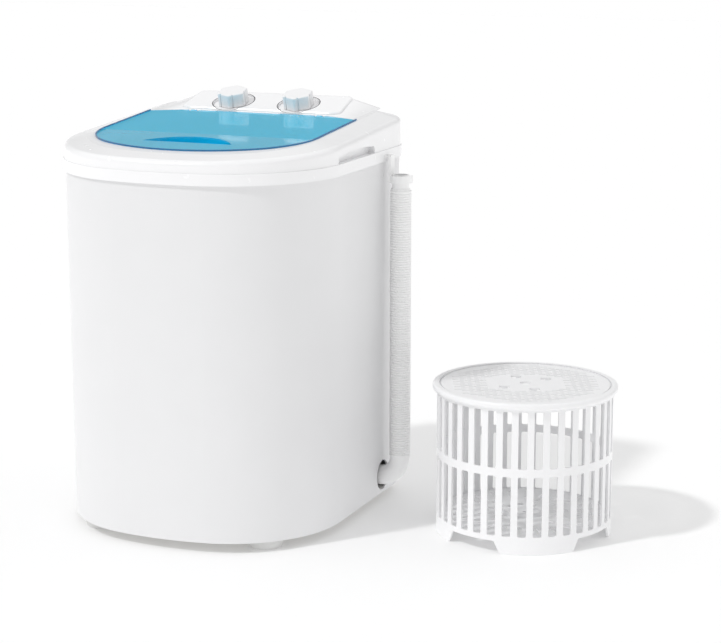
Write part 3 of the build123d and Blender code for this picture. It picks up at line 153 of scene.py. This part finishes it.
class WasherColours(bpy.types.PropertyGroup):
    """Colours of the washer's plastics."""
    body: colour("Body", "E5E5E6", "Satin white of the body's two shells")
    cover: colour("Cover", "F3F3F4", "Gloss white of the moulded cover")
    knobs: colour("Knobs", "EFEFF0", "White of the two knobs")
    tub: colour("Tub", "E6E9EC", "White of the wash tub and pulsator")
    basket: colour("Basket", "F1F1F2", "White of the spin basket and its lid")
    hose: colour("Hose", "F6F6F6", "White of the drain hose, its elbow and hook")
    lid: colour("Lid", "42DCFF", "Clear blue of the lid's plate")
    lid_edge: colour("Lid edge", "12D2FF", "Deeper blue of the lid's turned-down rim and pocket")
    lid_bead: colour("Lid bead", "0372B2", "Deepest blue, of the bead round the lid's edge")


class WasherSizes(bpy.types.PropertyGroup):
    """Sizes of the pieces that are made here."""
    hose_crest: length("Hose crest radius", 13.5, "Radius over the hose's ribs")
    hose_root: length("Hose root radius", 12.3, "Radius between the hose's ribs")
    hose_bore: length("Hose bore radius", 10.0, "Radius of the hose's bore")
    hose_cuff: length("Hose end length", 3.0, "Length of the plain cuff at each end of the hose")
    hose_ribs: IntProperty(name="Hose ribs", description="Number of ribs along the hose",
                           default=106, min=10, max=200)
    hose_sides: IntProperty(name="Hose sides", description="Faces round the hose",
                            default=40, min=12, max=96)
    lid_bead: length("Lid bead", 1.3, "Height and width of the bead round the lid's edge")


class StageSettings(bpy.types.PropertyGroup):
    """Camera and light."""
    lens: FloatProperty(name="Lens", description="Focal length of the camera in millimetres",
                        default=107.1, min=10.0)
    key: strength("Key light", 1.0, "Strength of the sun lamp")
    overhead: strength("Overhead light", 0.6, "Strength of the broad lamp overhead")
    side: strength("Side light", 0.2, "Strength of the weak lamp from the right and back")
    fill: strength("Fill light", 0.6, "Strength of the even light all round")
    floor: colour("Floor", "EFEFEF", "Pale floor")


def add(tree, kind, inputs=None, **settings):
    """Adds a node with its settings. An input is given a value, or the socket that feeds it."""
    made = tree.nodes.new("ShaderNode" + kind)
    for name, value in settings.items():
        setattr(made, name, value)
    for name, value in (inputs or {}).items():
        if isinstance(value, bpy.types.NodeSocket):
            tree.links.new(value, made.inputs[name])
        else:
            made.inputs[name].default_value = value
    return made


def per_metre(size_mm):
    """Texture scale of a pattern whose grains are this many millimetres across."""
    return 1 / (size_mm * MM)


def rgba(value):
    """A colour with full alpha, as a node's socket takes it."""
    return (*value[:3], 1.0)


def scaled(value, share):
    """A colour made lighter or darker by a share."""
    return tuple(min(1.0, channel * share) for channel in value[:3])


def start_material(name, **shader_inputs):
    """A new material with its shader and output, and the object's own coordinates."""
    material = bpy.data.materials.new(name)
    material.use_nodes = True
    tree = material.node_tree
    tree.nodes.clear()
    shader = add(tree, "BsdfPrincipled", shader_inputs)
    add(tree, "OutputMaterial", {"Surface": shader.outputs["BSDF"]})
    coordinates = add(tree, "TexCoord").outputs["Object"]
    return material, tree, shader, coordinates


def moulded_plastic(name, tint, roughness, grain_mm, depth_mm, shade=0.97):
    """Injection-moulded plastic: a faint flow mottle, and the fine grain of the mould's face.

    A real grain of a few tenths of a millimetre is too fine to show here, so it is drawn coarser.
    """
    material, tree, shader, coordinates = start_material(name, IOR=PLASTIC_IOR)
    patches = add(tree, "TexNoise", {"Vector": coordinates, "Scale": per_metre(PATCH_MM),
                                     "Detail": 2.0})
    mottled = add(tree, "Mix", {0: patches.outputs["Fac"], 6: rgba(scaled(tint, shade)),
                                7: rgba(tint)}, data_type="RGBA")
    tree.links.new(mottled.outputs[2], shader.inputs["Base Color"])
    handled = add(tree, "TexNoise", {"Vector": coordinates, "Scale": per_metre(PATCH_MM / 3),
                                     "Detail": 3.0})
    sheen = add(tree, "MapRange", {"Value": handled.outputs["Fac"],
                                   "To Min": roughness - PLASTIC_SPREAD,
                                   "To Max": roughness + PLASTIC_SPREAD})
    tree.links.new(sheen.outputs["Result"], shader.inputs["Roughness"])
    grain = add(tree, "TexNoise", {"Vector": coordinates, "Scale": per_metre(grain_mm),
                                   "Detail": 2.0})
    bump = add(tree, "Bump", {"Height": grain.outputs["Fac"], "Distance": depth_mm * MM,
                              "Strength": 0.5})
    tree.links.new(bump.outputs["Normal"], shader.inputs["Normal"])
    return material


def worked_metal(name, tint, roughness, grain_mm, stretch, depth_mm):
    """Metal with the marks of how it was worked, drawn out along an axis by the stretch."""
    material, tree, shader, coordinates = start_material(name, Metallic=1.0)
    drawn = add(tree, "Mapping", {"Vector": coordinates, "Scale": stretch}).outputs["Vector"]
    marks = add(tree, "TexNoise", {"Vector": drawn, "Scale": per_metre(grain_mm), "Detail": 4.0})
    toned = add(tree, "Mix", {0: marks.outputs["Fac"], 6: rgba(scaled(tint, METAL_SHADE)),
                              7: rgba(tint)}, data_type="RGBA")
    tree.links.new(toned.outputs[2], shader.inputs["Base Color"])
    sheen = add(tree, "MapRange", {"Value": marks.outputs["Fac"],
                                   "To Min": roughness - METAL_SPREAD,
                                   "To Max": roughness + METAL_SPREAD})
    tree.links.new(sheen.outputs["Result"], shader.inputs["Roughness"])
    bump = add(tree, "Bump", {"Height": marks.outputs["Fac"], "Distance": depth_mm * MM,
                              "Strength": 0.4})
    tree.links.new(bump.outputs["Normal"], shader.inputs["Normal"])
    return material


def tinted_clear_plastic(name, tint, deep):
    """Clear styrene-acrylonitrile, tinted blue through: light passes, and thick edges gather colour."""
    material, tree, shader, coordinates = start_material(name, IOR=CLEAR_IOR)
    shader.inputs["Transmission Weight"].default_value = 0.1
    shader.inputs["Alpha"].default_value = 0.75
    # The turned-down rim is looked along, so its colour is deeper than the plate's
    normal = add(tree, "TexCoord").outputs["Normal"]
    upward = add(tree, "SeparateXYZ", {"Vector": normal}).outputs["Z"]
    level = add(tree, "MapRange", {"Value": upward, "From Min": 0.3, "From Max": 0.95})
    gathered = add(tree, "Mix", {0: level.outputs["Result"], 6: rgba(deep), 7: rgba(tint)},
                   data_type="RGBA")
    tree.links.new(gathered.outputs[2], shader.inputs["Base Color"])
    wiped = add(tree, "TexNoise", {"Vector": coordinates, "Scale": per_metre(25.0), "Detail": 2.0})
    sheen = add(tree, "MapRange", {"Value": wiped.outputs["Fac"], "To Min": 0.02, "To Max": 0.07})
    tree.links.new(sheen.outputs["Result"], shader.inputs["Roughness"])
    # The front zone of the plate mirrors the room lower down, where the backdrop is white
    depth = add(tree, "SeparateXYZ", {"Vector": coordinates}).outputs["Y"]
    fall = add(tree, "MapRange", {"Value": depth, "From Min": LID_CREASE, "From Max": LID_FRONT})
    crease = add(tree, "Bump", {"Height": fall.outputs["Result"], "Strength": 1.0,
                                "Distance": (LID_CREASE - LID_FRONT) * LID_FLATTER})
    bump = add(tree, "Bump", {"Height": wiped.outputs["Fac"], "Distance": 0.05 * MM,
                              "Strength": 0.3, "Normal": crease.outputs["Normal"]})
    tree.links.new(bump.outputs["Normal"], shader.inputs["Normal"])
    return material


def ringed_cover_plastic(tint, roughness):
    """The cover's gloss plastic, with a thin dark grey line drawn round the rim of each knob's well."""
    material = moulded_plastic("Moulded_ABS_gloss_white", tint, roughness, 6.0, 0.02)
    tree = material.node_tree
    shader = tree.nodes["Principled BSDF"]
    coordinates = add(tree, "TexCoord").outputs["Object"]
    rings = []
    for centre in KNOB_CENTRES:
        # Distance from the knob's axis, in the plane of the tilted panel
        offset = add(tree, "VectorMath", {0: coordinates, 1: centre}, operation="SUBTRACT")
        around = add(tree, "VectorMath", {0: offset.outputs["Vector"], 1: KNOB_AXIS},
                     operation="CROSS_PRODUCT")
        reach = add(tree, "VectorMath", {0: around.outputs["Vector"]}, operation="LENGTH")
        near = add(tree, "Math", {0: reach.outputs["Value"], 1: RING_RADIUS, 2: RING_WIDTH / 2},
                   operation="COMPARE")
        rings.append(near.outputs["Value"])
    line = add(tree, "Math", {0: rings[0], 1: rings[1]}, operation="MAXIMUM").outputs["Value"]
    # A flat dark grey line is laid over the cover's colour at each well's rim
    plain = shader.inputs["Base Color"].links[0].from_socket
    ringed = add(tree, "Mix", {0: line, 6: plain, 7: rgba(linear("26272A"))}, data_type="RGBA")
    tree.links.new(ringed.outputs[2], shader.inputs["Base Color"])
    return material


def slotted_lid_plastic(tint, shade):
    """The basket lid's polypropylene, with a grey shade painted on the walls of its narrow slits."""
    material = moulded_plastic("Moulded_PP_basket_lid_white", tint, 0.34, 2.0, 0.02)
    tree = material.node_tree
    shader = tree.nodes["Principled BSDF"]
    low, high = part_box("basket_lid")
    coordinates = add(tree, "TexCoord").outputs
    # The slits' walls stand upright, and lie inside the plate's outline; they get the painted shade
    upward = add(tree, "SeparateXYZ", {"Vector": coordinates["Normal"]}).outputs["Z"]
    flat = add(tree, "Math", {0: upward}, operation="ABSOLUTE").outputs["Value"]
    upright = add(tree, "MapRange", {"Value": flat, "From Min": 0.3, "From Max": 0.7,
                                     "To Min": 1.0, "To Max": 0.0})
    middle = add(tree, "Mapping", {"Vector": coordinates["Object"], "Location": (low + high) / -2,
                                   "Scale": (1, 1, 0)}).outputs["Vector"]
    reach = add(tree, "VectorMath", {0: middle}, operation="LENGTH").outputs["Value"]
    inside = add(tree, "Math", {0: reach, 1: (high.x - low.x) / 2 - SLITS_INSET},
                 operation="LESS_THAN").outputs["Value"]
    slit_shade_mask = add(tree, "Math", {0: upright.outputs["Result"], 1: inside},
               operation="MULTIPLY").outputs["Value"]
    plain = shader.inputs["Base Color"].links[0].from_socket
    shaded = add(tree, "Mix", {0: slit_shade_mask, 6: plain, 7: rgba(shade)}, data_type="RGBA")
    tree.links.new(shaded.outputs[2], shader.inputs["Base Color"])
    return material


def finish_slot(slot, material):
    """Gives a finish to every CAD node whose slot in the record is this one."""
    for name, node in frame["nodes"].items():
        if SLOT_OF[name] == slot:
            for place in node.material_slots:
                place.material = material
            if not node.material_slots:
                node.data.materials.append(material)


def add_piece(name, form, material, body):
    """Makes an object of a finished bmesh, smooth by angle, and rides it on a CAD body."""
    mesh = bpy.data.meshes.new(name)
    form.to_mesh(mesh)
    form.free()
    for face in mesh.polygons:
        face.use_smooth = True
    mesh.set_sharp_from_angle(angle=SHARP_ANGLE)
    mesh.materials.append(material)
    piece = bpy.data.objects.new(name, mesh)
    bpy.context.scene.collection.objects.link(piece)
    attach(piece, body)
    return piece


def turned(profile, centre, sides):
    """A closed ring of the profile's radius and height pairs, turned about an upright axis."""
    form = bmesh.new()
    points = [form.verts.new((centre.x + radius, centre.y, height)) for radius, height in profile]
    edges = [form.edges.new(pair) for pair in zip(points, points[1:] + points[:1])]
    bmesh.ops.spin(form, geom=points + edges, cent=(centre.x, centre.y, 0), axis=(0, 0, 1),
                   angle=2 * math.pi, steps=sides, use_merge=True)
    bmesh.ops.remove_doubles(form, verts=form.verts, dist=MERGE)
    bmesh.ops.recalc_face_normals(form, faces=form.faces)
    return form


def longest_outline(form):
    """The edges of the longest closed loop on a form's boundary."""
    left = {edge for edge in form.edges if edge.is_boundary}
    outline = []
    while left:
        # Each loop is walked from an edge to the edges that share its ends
        loop, ends = [], [left.pop()]
        while ends:
            edge = ends.pop()
            loop.append(edge)
            joined = {near for vert in edge.verts for near in vert.link_edges} & left
            left -= joined
            ends += joined
        outline = max(outline, loop, key=len)
    return outline


def outline_bead(node, size):
    """A square bead on the outline of a node's largest flat face, but for the hinge side."""
    form = bmesh.new()
    form.from_mesh(node.data)
    bmesh.ops.remove_doubles(form, verts=form.verts, dist=MERGE)
    form.normal_update()
    plate = max(form.faces, key=lambda face: face.calc_area())
    middle, up = plate.calc_center_median(), plate.normal.copy()
    others = [face for face in form.faces if face.normal.dot(up) < PLATE_TURN
              or abs((face.calc_center_median() - middle).dot(up)) > PLATE_STEP]
    bmesh.ops.delete(form, geom=others, context="FACES")
    outline = longest_outline(form)
    rear = max(vert.co.y for edge in outline for vert in edge.verts) - BEAD_SHORT_OF_REAR
    kept = [edge for edge in outline if max(vert.co.y for vert in edge.verts) < rear]
    raised = bmesh.ops.extrude_edge_only(form, edges=kept)["geom"]
    walls = {item for item in raised if isinstance(item, bmesh.types.BMFace)}
    tops = [item for item in raised if isinstance(item, bmesh.types.BMVert)]
    bmesh.ops.translate(form, verts=tops, vec=up * size)
    plate_faces = [face for face in form.faces if face not in walls]
    bmesh.ops.delete(form, geom=plate_faces, context="FACES")
    bmesh.ops.recalc_face_normals(form, faces=form.faces)
    bmesh.ops.solidify(form, geom=form.faces[:], thickness=-size)
    bmesh.ops.remove_doubles(form, verts=form.verts, dist=MERGE)
    bmesh.ops.recalc_face_normals(form, faces=form.faces)
    return form


class WASHER_OT_finish_shells(bpy.types.Operator):
    """Satin white plastic for the body's shells, with its pan, feet and gland"""
    bl_idname = "washer.finish_shells"
    bl_label = "Finish body shells"

    def execute(self, context):
        tint = context.scene.washer_colours.body
        # High-impact polystyrene from a lightly sparked mould: satin, with a grain just felt by hand
        finish_slot("body_white",
                    moulded_plastic("Moulded_HIPS_satin_white", tint, 0.42, 1.2, 0.03))
        # Unpainted polypropylene, duller and a little warmer than the shells
        finish_slot("base_plastic",
                    moulded_plastic("Moulded_PP_natural", linear("DDDCD9"), 0.55, 1.5, 0.05))
        # Pale rubber feet: dull, with a mould bloom
        finish_slot("foot_rubber",
                    moulded_plastic("Moulded_rubber_pale_grey", linear("D9D9D8"), 0.7, 0.8, 0.05))
        # Black nitrile rubber of seals, belt, mounts and gland: dull and a little uneven in tone
        finish_slot("seal_rubber",
                    moulded_plastic("Moulded_nitrile_black", linear("1B1B1C"), 0.6, 0.6, 0.04, 0.8))
        return {"FINISHED"}


class WASHER_OT_finish_cover(bpy.types.Operator):
    """Gloss white plastic for the cover and the knobs"""
    bl_idname = "washer.finish_cover"
    bl_label = "Finish cover and knobs"

    def execute(self, context):
        colours = context.scene.washer_colours
        # ABS from a polished mould: a soft gloss with the long, faint waviness of a large moulding
        finish_slot("cover_white", ringed_cover_plastic(colours.cover, 0.26))
        # The knobs are the same ABS with a finer, slightly duller face for grip
        finish_slot("knob_white", moulded_plastic("Moulded_ABS_knob_white", colours.knobs, 0.36,
                                                  1.0, 0.02, 0.99))
        return {"FINISHED"}


class WASHER_OT_finish_lid(bpy.types.Operator):
    """Clear blue plastic for the lid, and the bead round its edge"""
    bl_idname = "washer.finish_lid"
    bl_label = "Finish lid"

    def execute(self, context):
        colours = context.scene.washer_colours
        finish_slot("lid_blue", tinted_clear_plastic("Tinted_clear_SAN_lid", colours.lid,
                                                     colours.lid_edge))
        # The bead gathers the light that travels inside the plate, so it is darkest
        form = outline_bead(frame["nodes"]["lid"], context.scene.washer_sizes.lid_bead)
        bead = tinted_clear_plastic("Tinted_clear_SAN_bead", colours.lid_bead, colours.lid_bead)
        add_piece("lid_edge_bead", form, bead, "lid")
        return {"FINISHED"}


class WASHER_OT_finish_tub(bpy.types.Operator):
    """White plastic for the wash tub, the filter and the pulsator"""
    bl_idname = "washer.finish_tub"
    bl_label = "Finish tub and pulsator"

    def execute(self, context):
        tint = context.scene.washer_colours.tub
        # Polypropylene tub: smooth and slightly waxy
        finish_slot("tub_white", moulded_plastic("Moulded_PP_tub_white", tint, 0.34, 3.0, 0.03))
        # The pulsator is the same polypropylene with a slightly glossier face
        finish_slot("pulsator_white",
                    moulded_plastic("Moulded_PP_pulsator_white", tint, 0.3, 2.0, 0.03))
        return {"FINISHED"}


class WASHER_OT_finish_basket(bpy.types.Operator):
    """White plastic for the spin basket and its lid"""
    bl_idname = "washer.finish_basket"
    bl_label = "Finish spin basket"

    def execute(self, context):
        tint = context.scene.washer_colours.basket
        # Thin-walled polypropylene: smooth, with a soft sheen on its many edges
        finish_slot("basket_white",
                    moulded_plastic("Moulded_PP_basket_white", tint, 0.32, 2.0, 0.02))
        # The walls of the basket lid's slits get a painted grey shade
        for place in frame["nodes"]["basket_lid"].material_slots:
            place.material = slotted_lid_plastic(tint, linear("8C8E91"))
        return {"FINISHED"}


class WASHER_OT_finish_drive(bpy.types.Operator):
    """Metal and plastic of the drive, the fasteners and the electrics"""
    bl_idname = "washer.finish_drive"
    bl_label = "Finish drive and electrics"

    def execute(self, context):
        # Zinc-plated steel: bluish, with the crystal spangle of the plating
        finish_slot("zinc_steel", worked_metal("Zinc_plated_steel", linear("C3C6CA"), 0.36, 4.0,
                                               (1, 1, 1), 0.02))
        # Turned stainless steel: fine rings square to the shaft, drawn coarser than the tool's feed
        finish_slot("stainless", worked_metal("Turned_stainless_steel", linear("CCCBC9"), 0.24, 0.6,
                                              (0.05, 0.05, 1), 0.01))
        # Die-cast aluminium: matt, with a sandy skin
        finish_slot("cast_alloy", worked_metal("Die_cast_aluminium", linear("B4B6B8"), 0.48, 1.0,
                                               (1, 1, 1), 0.06))
        # Sintered bronze bushes: open grain, oil-dark
        finish_slot("bronze", worked_metal("Sintered_bronze", linear("A9834E"), 0.42, 0.5,
                                           (1, 1, 1), 0.04))
        # Glass-filled nylon pulley: dull black with a fibre grain
        finish_slot("pulley_plastic", moulded_plastic("Glass_filled_nylon_black", linear("2A2A2C"),
                                                      0.5, 0.8, 0.05))
        # Ivory thermoset of timer and switch bodies: hard and satin, with a fine grain
        finish_slot("unit_plastic", moulded_plastic("Moulded_thermoset_ivory", linear("E3DEC9"),
                                                    0.45, 1.0, 0.03))
        # The capacitor's polypropylene can: smooth, between satin and gloss
        finish_slot("capacitor_case", moulded_plastic("Moulded_PP_capacitor_can", linear("DBDBD7"),
                                                      0.4, 1.0, 0.02))
        return {"FINISHED"}


class WASHER_OT_make_drain_hose(bpy.types.Operator):
    """The ribbed drain hose, with the finish of the whole drain line"""
    bl_idname = "washer.make_drain_hose"
    bl_label = "Make drain hose"

    def execute(self, context):
        sizes = context.scene.washer_sizes
        # Blow-moulded polyethylene: white, soft-looking and slightly dull
        material = moulded_plastic("Blow_moulded_PE_white", context.scene.washer_colours.hose,
                                   0.42, 1.5, 0.03)
        finish_slot("hose_plastic", material)
        bore, root, crest = sizes.hose_bore, sizes.hose_root, sizes.hose_crest
        bottom, top = HOSE_LOW.z, HOSE_HIGH.z
        first = bottom + sizes.hose_cuff
        pitch = (top - bottom - 2 * sizes.hose_cuff) / sizes.hose_ribs
        profile = [(bore, bottom), (crest, bottom), (crest, first - pitch / 4), (root, first)]
        for index in range(sizes.hose_ribs):
            profile += [(radius, first + (index + share) * pitch)
                        for radius, share in zip((root, crest, crest, root), RIB_SHARES)]
        profile += [(crest, top - sizes.hose_cuff + pitch / 4), (crest, top), (bore, top)]
        form = turned(profile, HOSE_AXIS, sizes.hose_sides)
        hose = add_piece("ribbed_drain_hose", form, material, "drain_line")
        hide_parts("drain_hose")
        return {"FINISHED"}


class WASHER_OT_make_inner_lines(bpy.types.Operator):
    """The drain hose and the supply lead inside the body"""
    bl_idname = "washer.make_inner_lines"
    bl_label = "Make inner lines"

    def execute(self, context):
        # Extruded PVC: grey, smooth and slightly dull
        material = moulded_plastic("Extruded_PVC_grey", linear("9A9CA0"), 0.5, 1.5, 0.03)
        finish_slot("inner_hose_grey", material)
        for node, radius, route in INNER_LINES:
            curve = bpy.data.curves.new(node, "CURVE")
            curve.dimensions = "3D"
            curve.bevel_depth = radius * MM
            curve.use_fill_caps = True
            spline = curve.splines.new("NURBS")
            spline.points.add(len(route) - 1)
            for point, place in zip(spline.points, route):
                point.co = (*(size * MM for size in place), 1.0)
            spline.order_u = 3
            spline.use_endpoint_u = True
            curve.materials.append(material)
            line = bpy.data.objects.new("smooth_" + node, curve)
            context.scene.collection.objects.link(line)
            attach(line, "washer")
            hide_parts(node)
        return {"FINISHED"}


def aimed(item, direction):
    """Turns a camera or lamp to look along a direction."""
    item.rotation_euler = Vector(direction).to_track_quat("-Z", "Y").to_euler()
    bpy.context.scene.collection.objects.link(item)
    return item


def lay_floor(tint):
    """A wide painted floor that the camera sees lifted to white, with its shadows kept."""
    form = bmesh.new()
    bmesh.ops.create_grid(form, x_segments=2, y_segments=2, size=FLOOR_HALF)
    mesh = bpy.data.meshes.new("floor")
    form.to_mesh(mesh)
    form.free()
    floor = bpy.data.objects.new("floor", mesh)
    floor.location.z = -FLOOR_DROP
    bpy.context.scene.collection.objects.link(floor)
    material, tree, shader, _ = start_material("Painted_studio_floor", Roughness=1.0)
    shader.inputs["Specular IOR Level"].default_value = 0.0
    shader.inputs["Base Color"].default_value = rgba(tint)
    # A stronger glow for the other rays lights the low parts of the washer
    seen = add(tree, "LightPath").outputs["Is Camera Ray"]
    glow = add(tree, "MapRange", {"Value": seen, "To Min": FLOOR_GLOW,
                                  "To Max": FLOOR_GLOW_SEEN}).outputs["Result"]
    lift = add(tree, "Emission", {"Color": WHITE, "Strength": glow})
    both = add(tree, "AddShader", {0: shader.outputs["BSDF"], 1: lift.outputs["Emission"]})
    tree.links.new(both.outputs["Shader"], tree.nodes["Material Output"].inputs["Surface"])
    mesh.materials.append(material)


def hang_backdrop(fill):
    """A world that is white to look at, mirrors a plain studio, and lights all sides evenly."""
    world = bpy.data.worlds.new("studio")
    world.use_nodes = True
    tree = world.node_tree
    tree.nodes.clear()
    rays = add(tree, "LightPath").outputs
    through = add(tree, "Math", {0: rays["Is Camera Ray"], 1: rays["Is Transmission Ray"]},
                  operation="MAXIMUM").outputs["Value"]
    seen = add(tree, "Math", {0: through, 1: rays["Is Glossy Ray"]}, operation="MAXIMUM")
    direction = add(tree, "TexCoord").outputs["Generated"]
    height = add(tree, "SeparateXYZ", {"Vector": direction}).outputs["Z"]
    room = add(tree, "MapRange", {"Value": height, "From Min": BACKDROP_TOP[0],
                                  "From Max": BACKDROP_TOP[1], "To Min": 1.0, "To Max": ROOM_TONE})
    cloth = add(tree, "MapRange", {"Value": height, "From Min": CLOTH_FOOT[0],
                                   "From Max": CLOTH_FOOT[1], "To Max": CLOTH_TONE})
    mirrored = add(tree, "Math", {0: room.outputs["Result"], 1: cloth.outputs["Result"]},
                   operation="MAXIMUM")
    shown = add(tree, "Math", {0: through, 1: mirrored.outputs["Value"]}, operation="MAXIMUM")
    even = add(tree, "Background", {"Color": WHITE, "Strength": fill})
    white = add(tree, "Background", {"Color": WHITE, "Strength": shown.outputs["Value"]})
    mix = add(tree, "MixShader", {0: seen.outputs["Value"], 1: even.outputs["Background"],
                                  2: white.outputs["Background"]})
    add(tree, "OutputWorld", {"Surface": mix.outputs["Shader"]})
    bpy.context.scene.world = world


class WASHER_OT_set_stage(bpy.types.Operator):
    """Pale floor, soft studio light and the camera"""
    bl_idname = "washer.set_stage"
    bl_label = "Set stage"

    def execute(self, context):
        stage = context.scene.washer_stage
        context.scene.view_settings.view_transform = "Standard"

        camera = bpy.data.objects.new("camera", bpy.data.cameras.new("camera"))
        camera.data.lens = stage.lens
        camera.data.clip_start = 0.05
        camera.data.clip_end = 60.0
        camera.location = CAMERA_PLACE
        context.scene.camera = aimed(camera, CAMERA_AIM)

        lay_floor(stage.floor)
        hang_backdrop(stage.fill)

        # The key comes from the left and front, high up; the broad lamp overhead softens its
        # shadows, and a weak one from the right and back lifts the drain hose's side
        for name, energy, spread, travel in (("key", stage.key, 4, (0.40, 0.51, -0.76)),
                                             ("overhead", stage.overhead, 100, (0, 0, -1)),
                                             ("side", stage.side, 60, (-0.75, -0.55, -0.35))):
            lamp = bpy.data.objects.new(name, bpy.data.lights.new(name, "SUN"))
            lamp.data.energy = energy
            lamp.data.angle = math.radians(spread)
            aimed(lamp, travel)
        return {"FINISHED"}


OPERATORS = (WASHER_OT_set_stage, WASHER_OT_make_drain_hose, WASHER_OT_make_inner_lines,
             WASHER_OT_finish_shells, WASHER_OT_finish_cover, WASHER_OT_finish_lid,
             WASHER_OT_finish_tub, WASHER_OT_finish_basket, WASHER_OT_finish_drive)

GROUPS = {"washer_colours": WasherColours, "washer_sizes": WasherSizes,
          "washer_stage": StageSettings}


class WASHER_PT_pieces(bpy.types.Panel):
    """Lists the washer's steps in the 3D view's sidebar"""
    bl_idname = "WASHER_PT_pieces"
    bl_label = "Washer"
    bl_space_type = "VIEW_3D"
    bl_region_type = "UI"
    bl_category = "Washer"

    def draw(self, context):
        for operator in OPERATORS:
            self.layout.operator(operator.bl_idname)
        for name, group in GROUPS.items():
            for setting in group.__annotations__:
                self.layout.prop(getattr(context.scene, name), setting)


def register():
    for group in GROUPS.values():
        bpy.utils.register_class(group)
    for name, group in GROUPS.items():
        setattr(bpy.types.Scene, name, PointerProperty(type=group))
    for made in (*OPERATORS, WASHER_PT_pieces):
        bpy.utils.register_class(made)


def unregister():
    for made in (WASHER_PT_pieces, *reversed(OPERATORS)):
        bpy.utils.unregister_class(made)
    for name, group in GROUPS.items():
        delattr(bpy.types.Scene, name)
        bpy.utils.unregister_class(group)


def main():
    register()
    for operator in OPERATORS:
        family, step = operator.bl_idname.split(".")
        getattr(getattr(bpy.ops, family), step)()


if __name__ == "__main__":
    main()
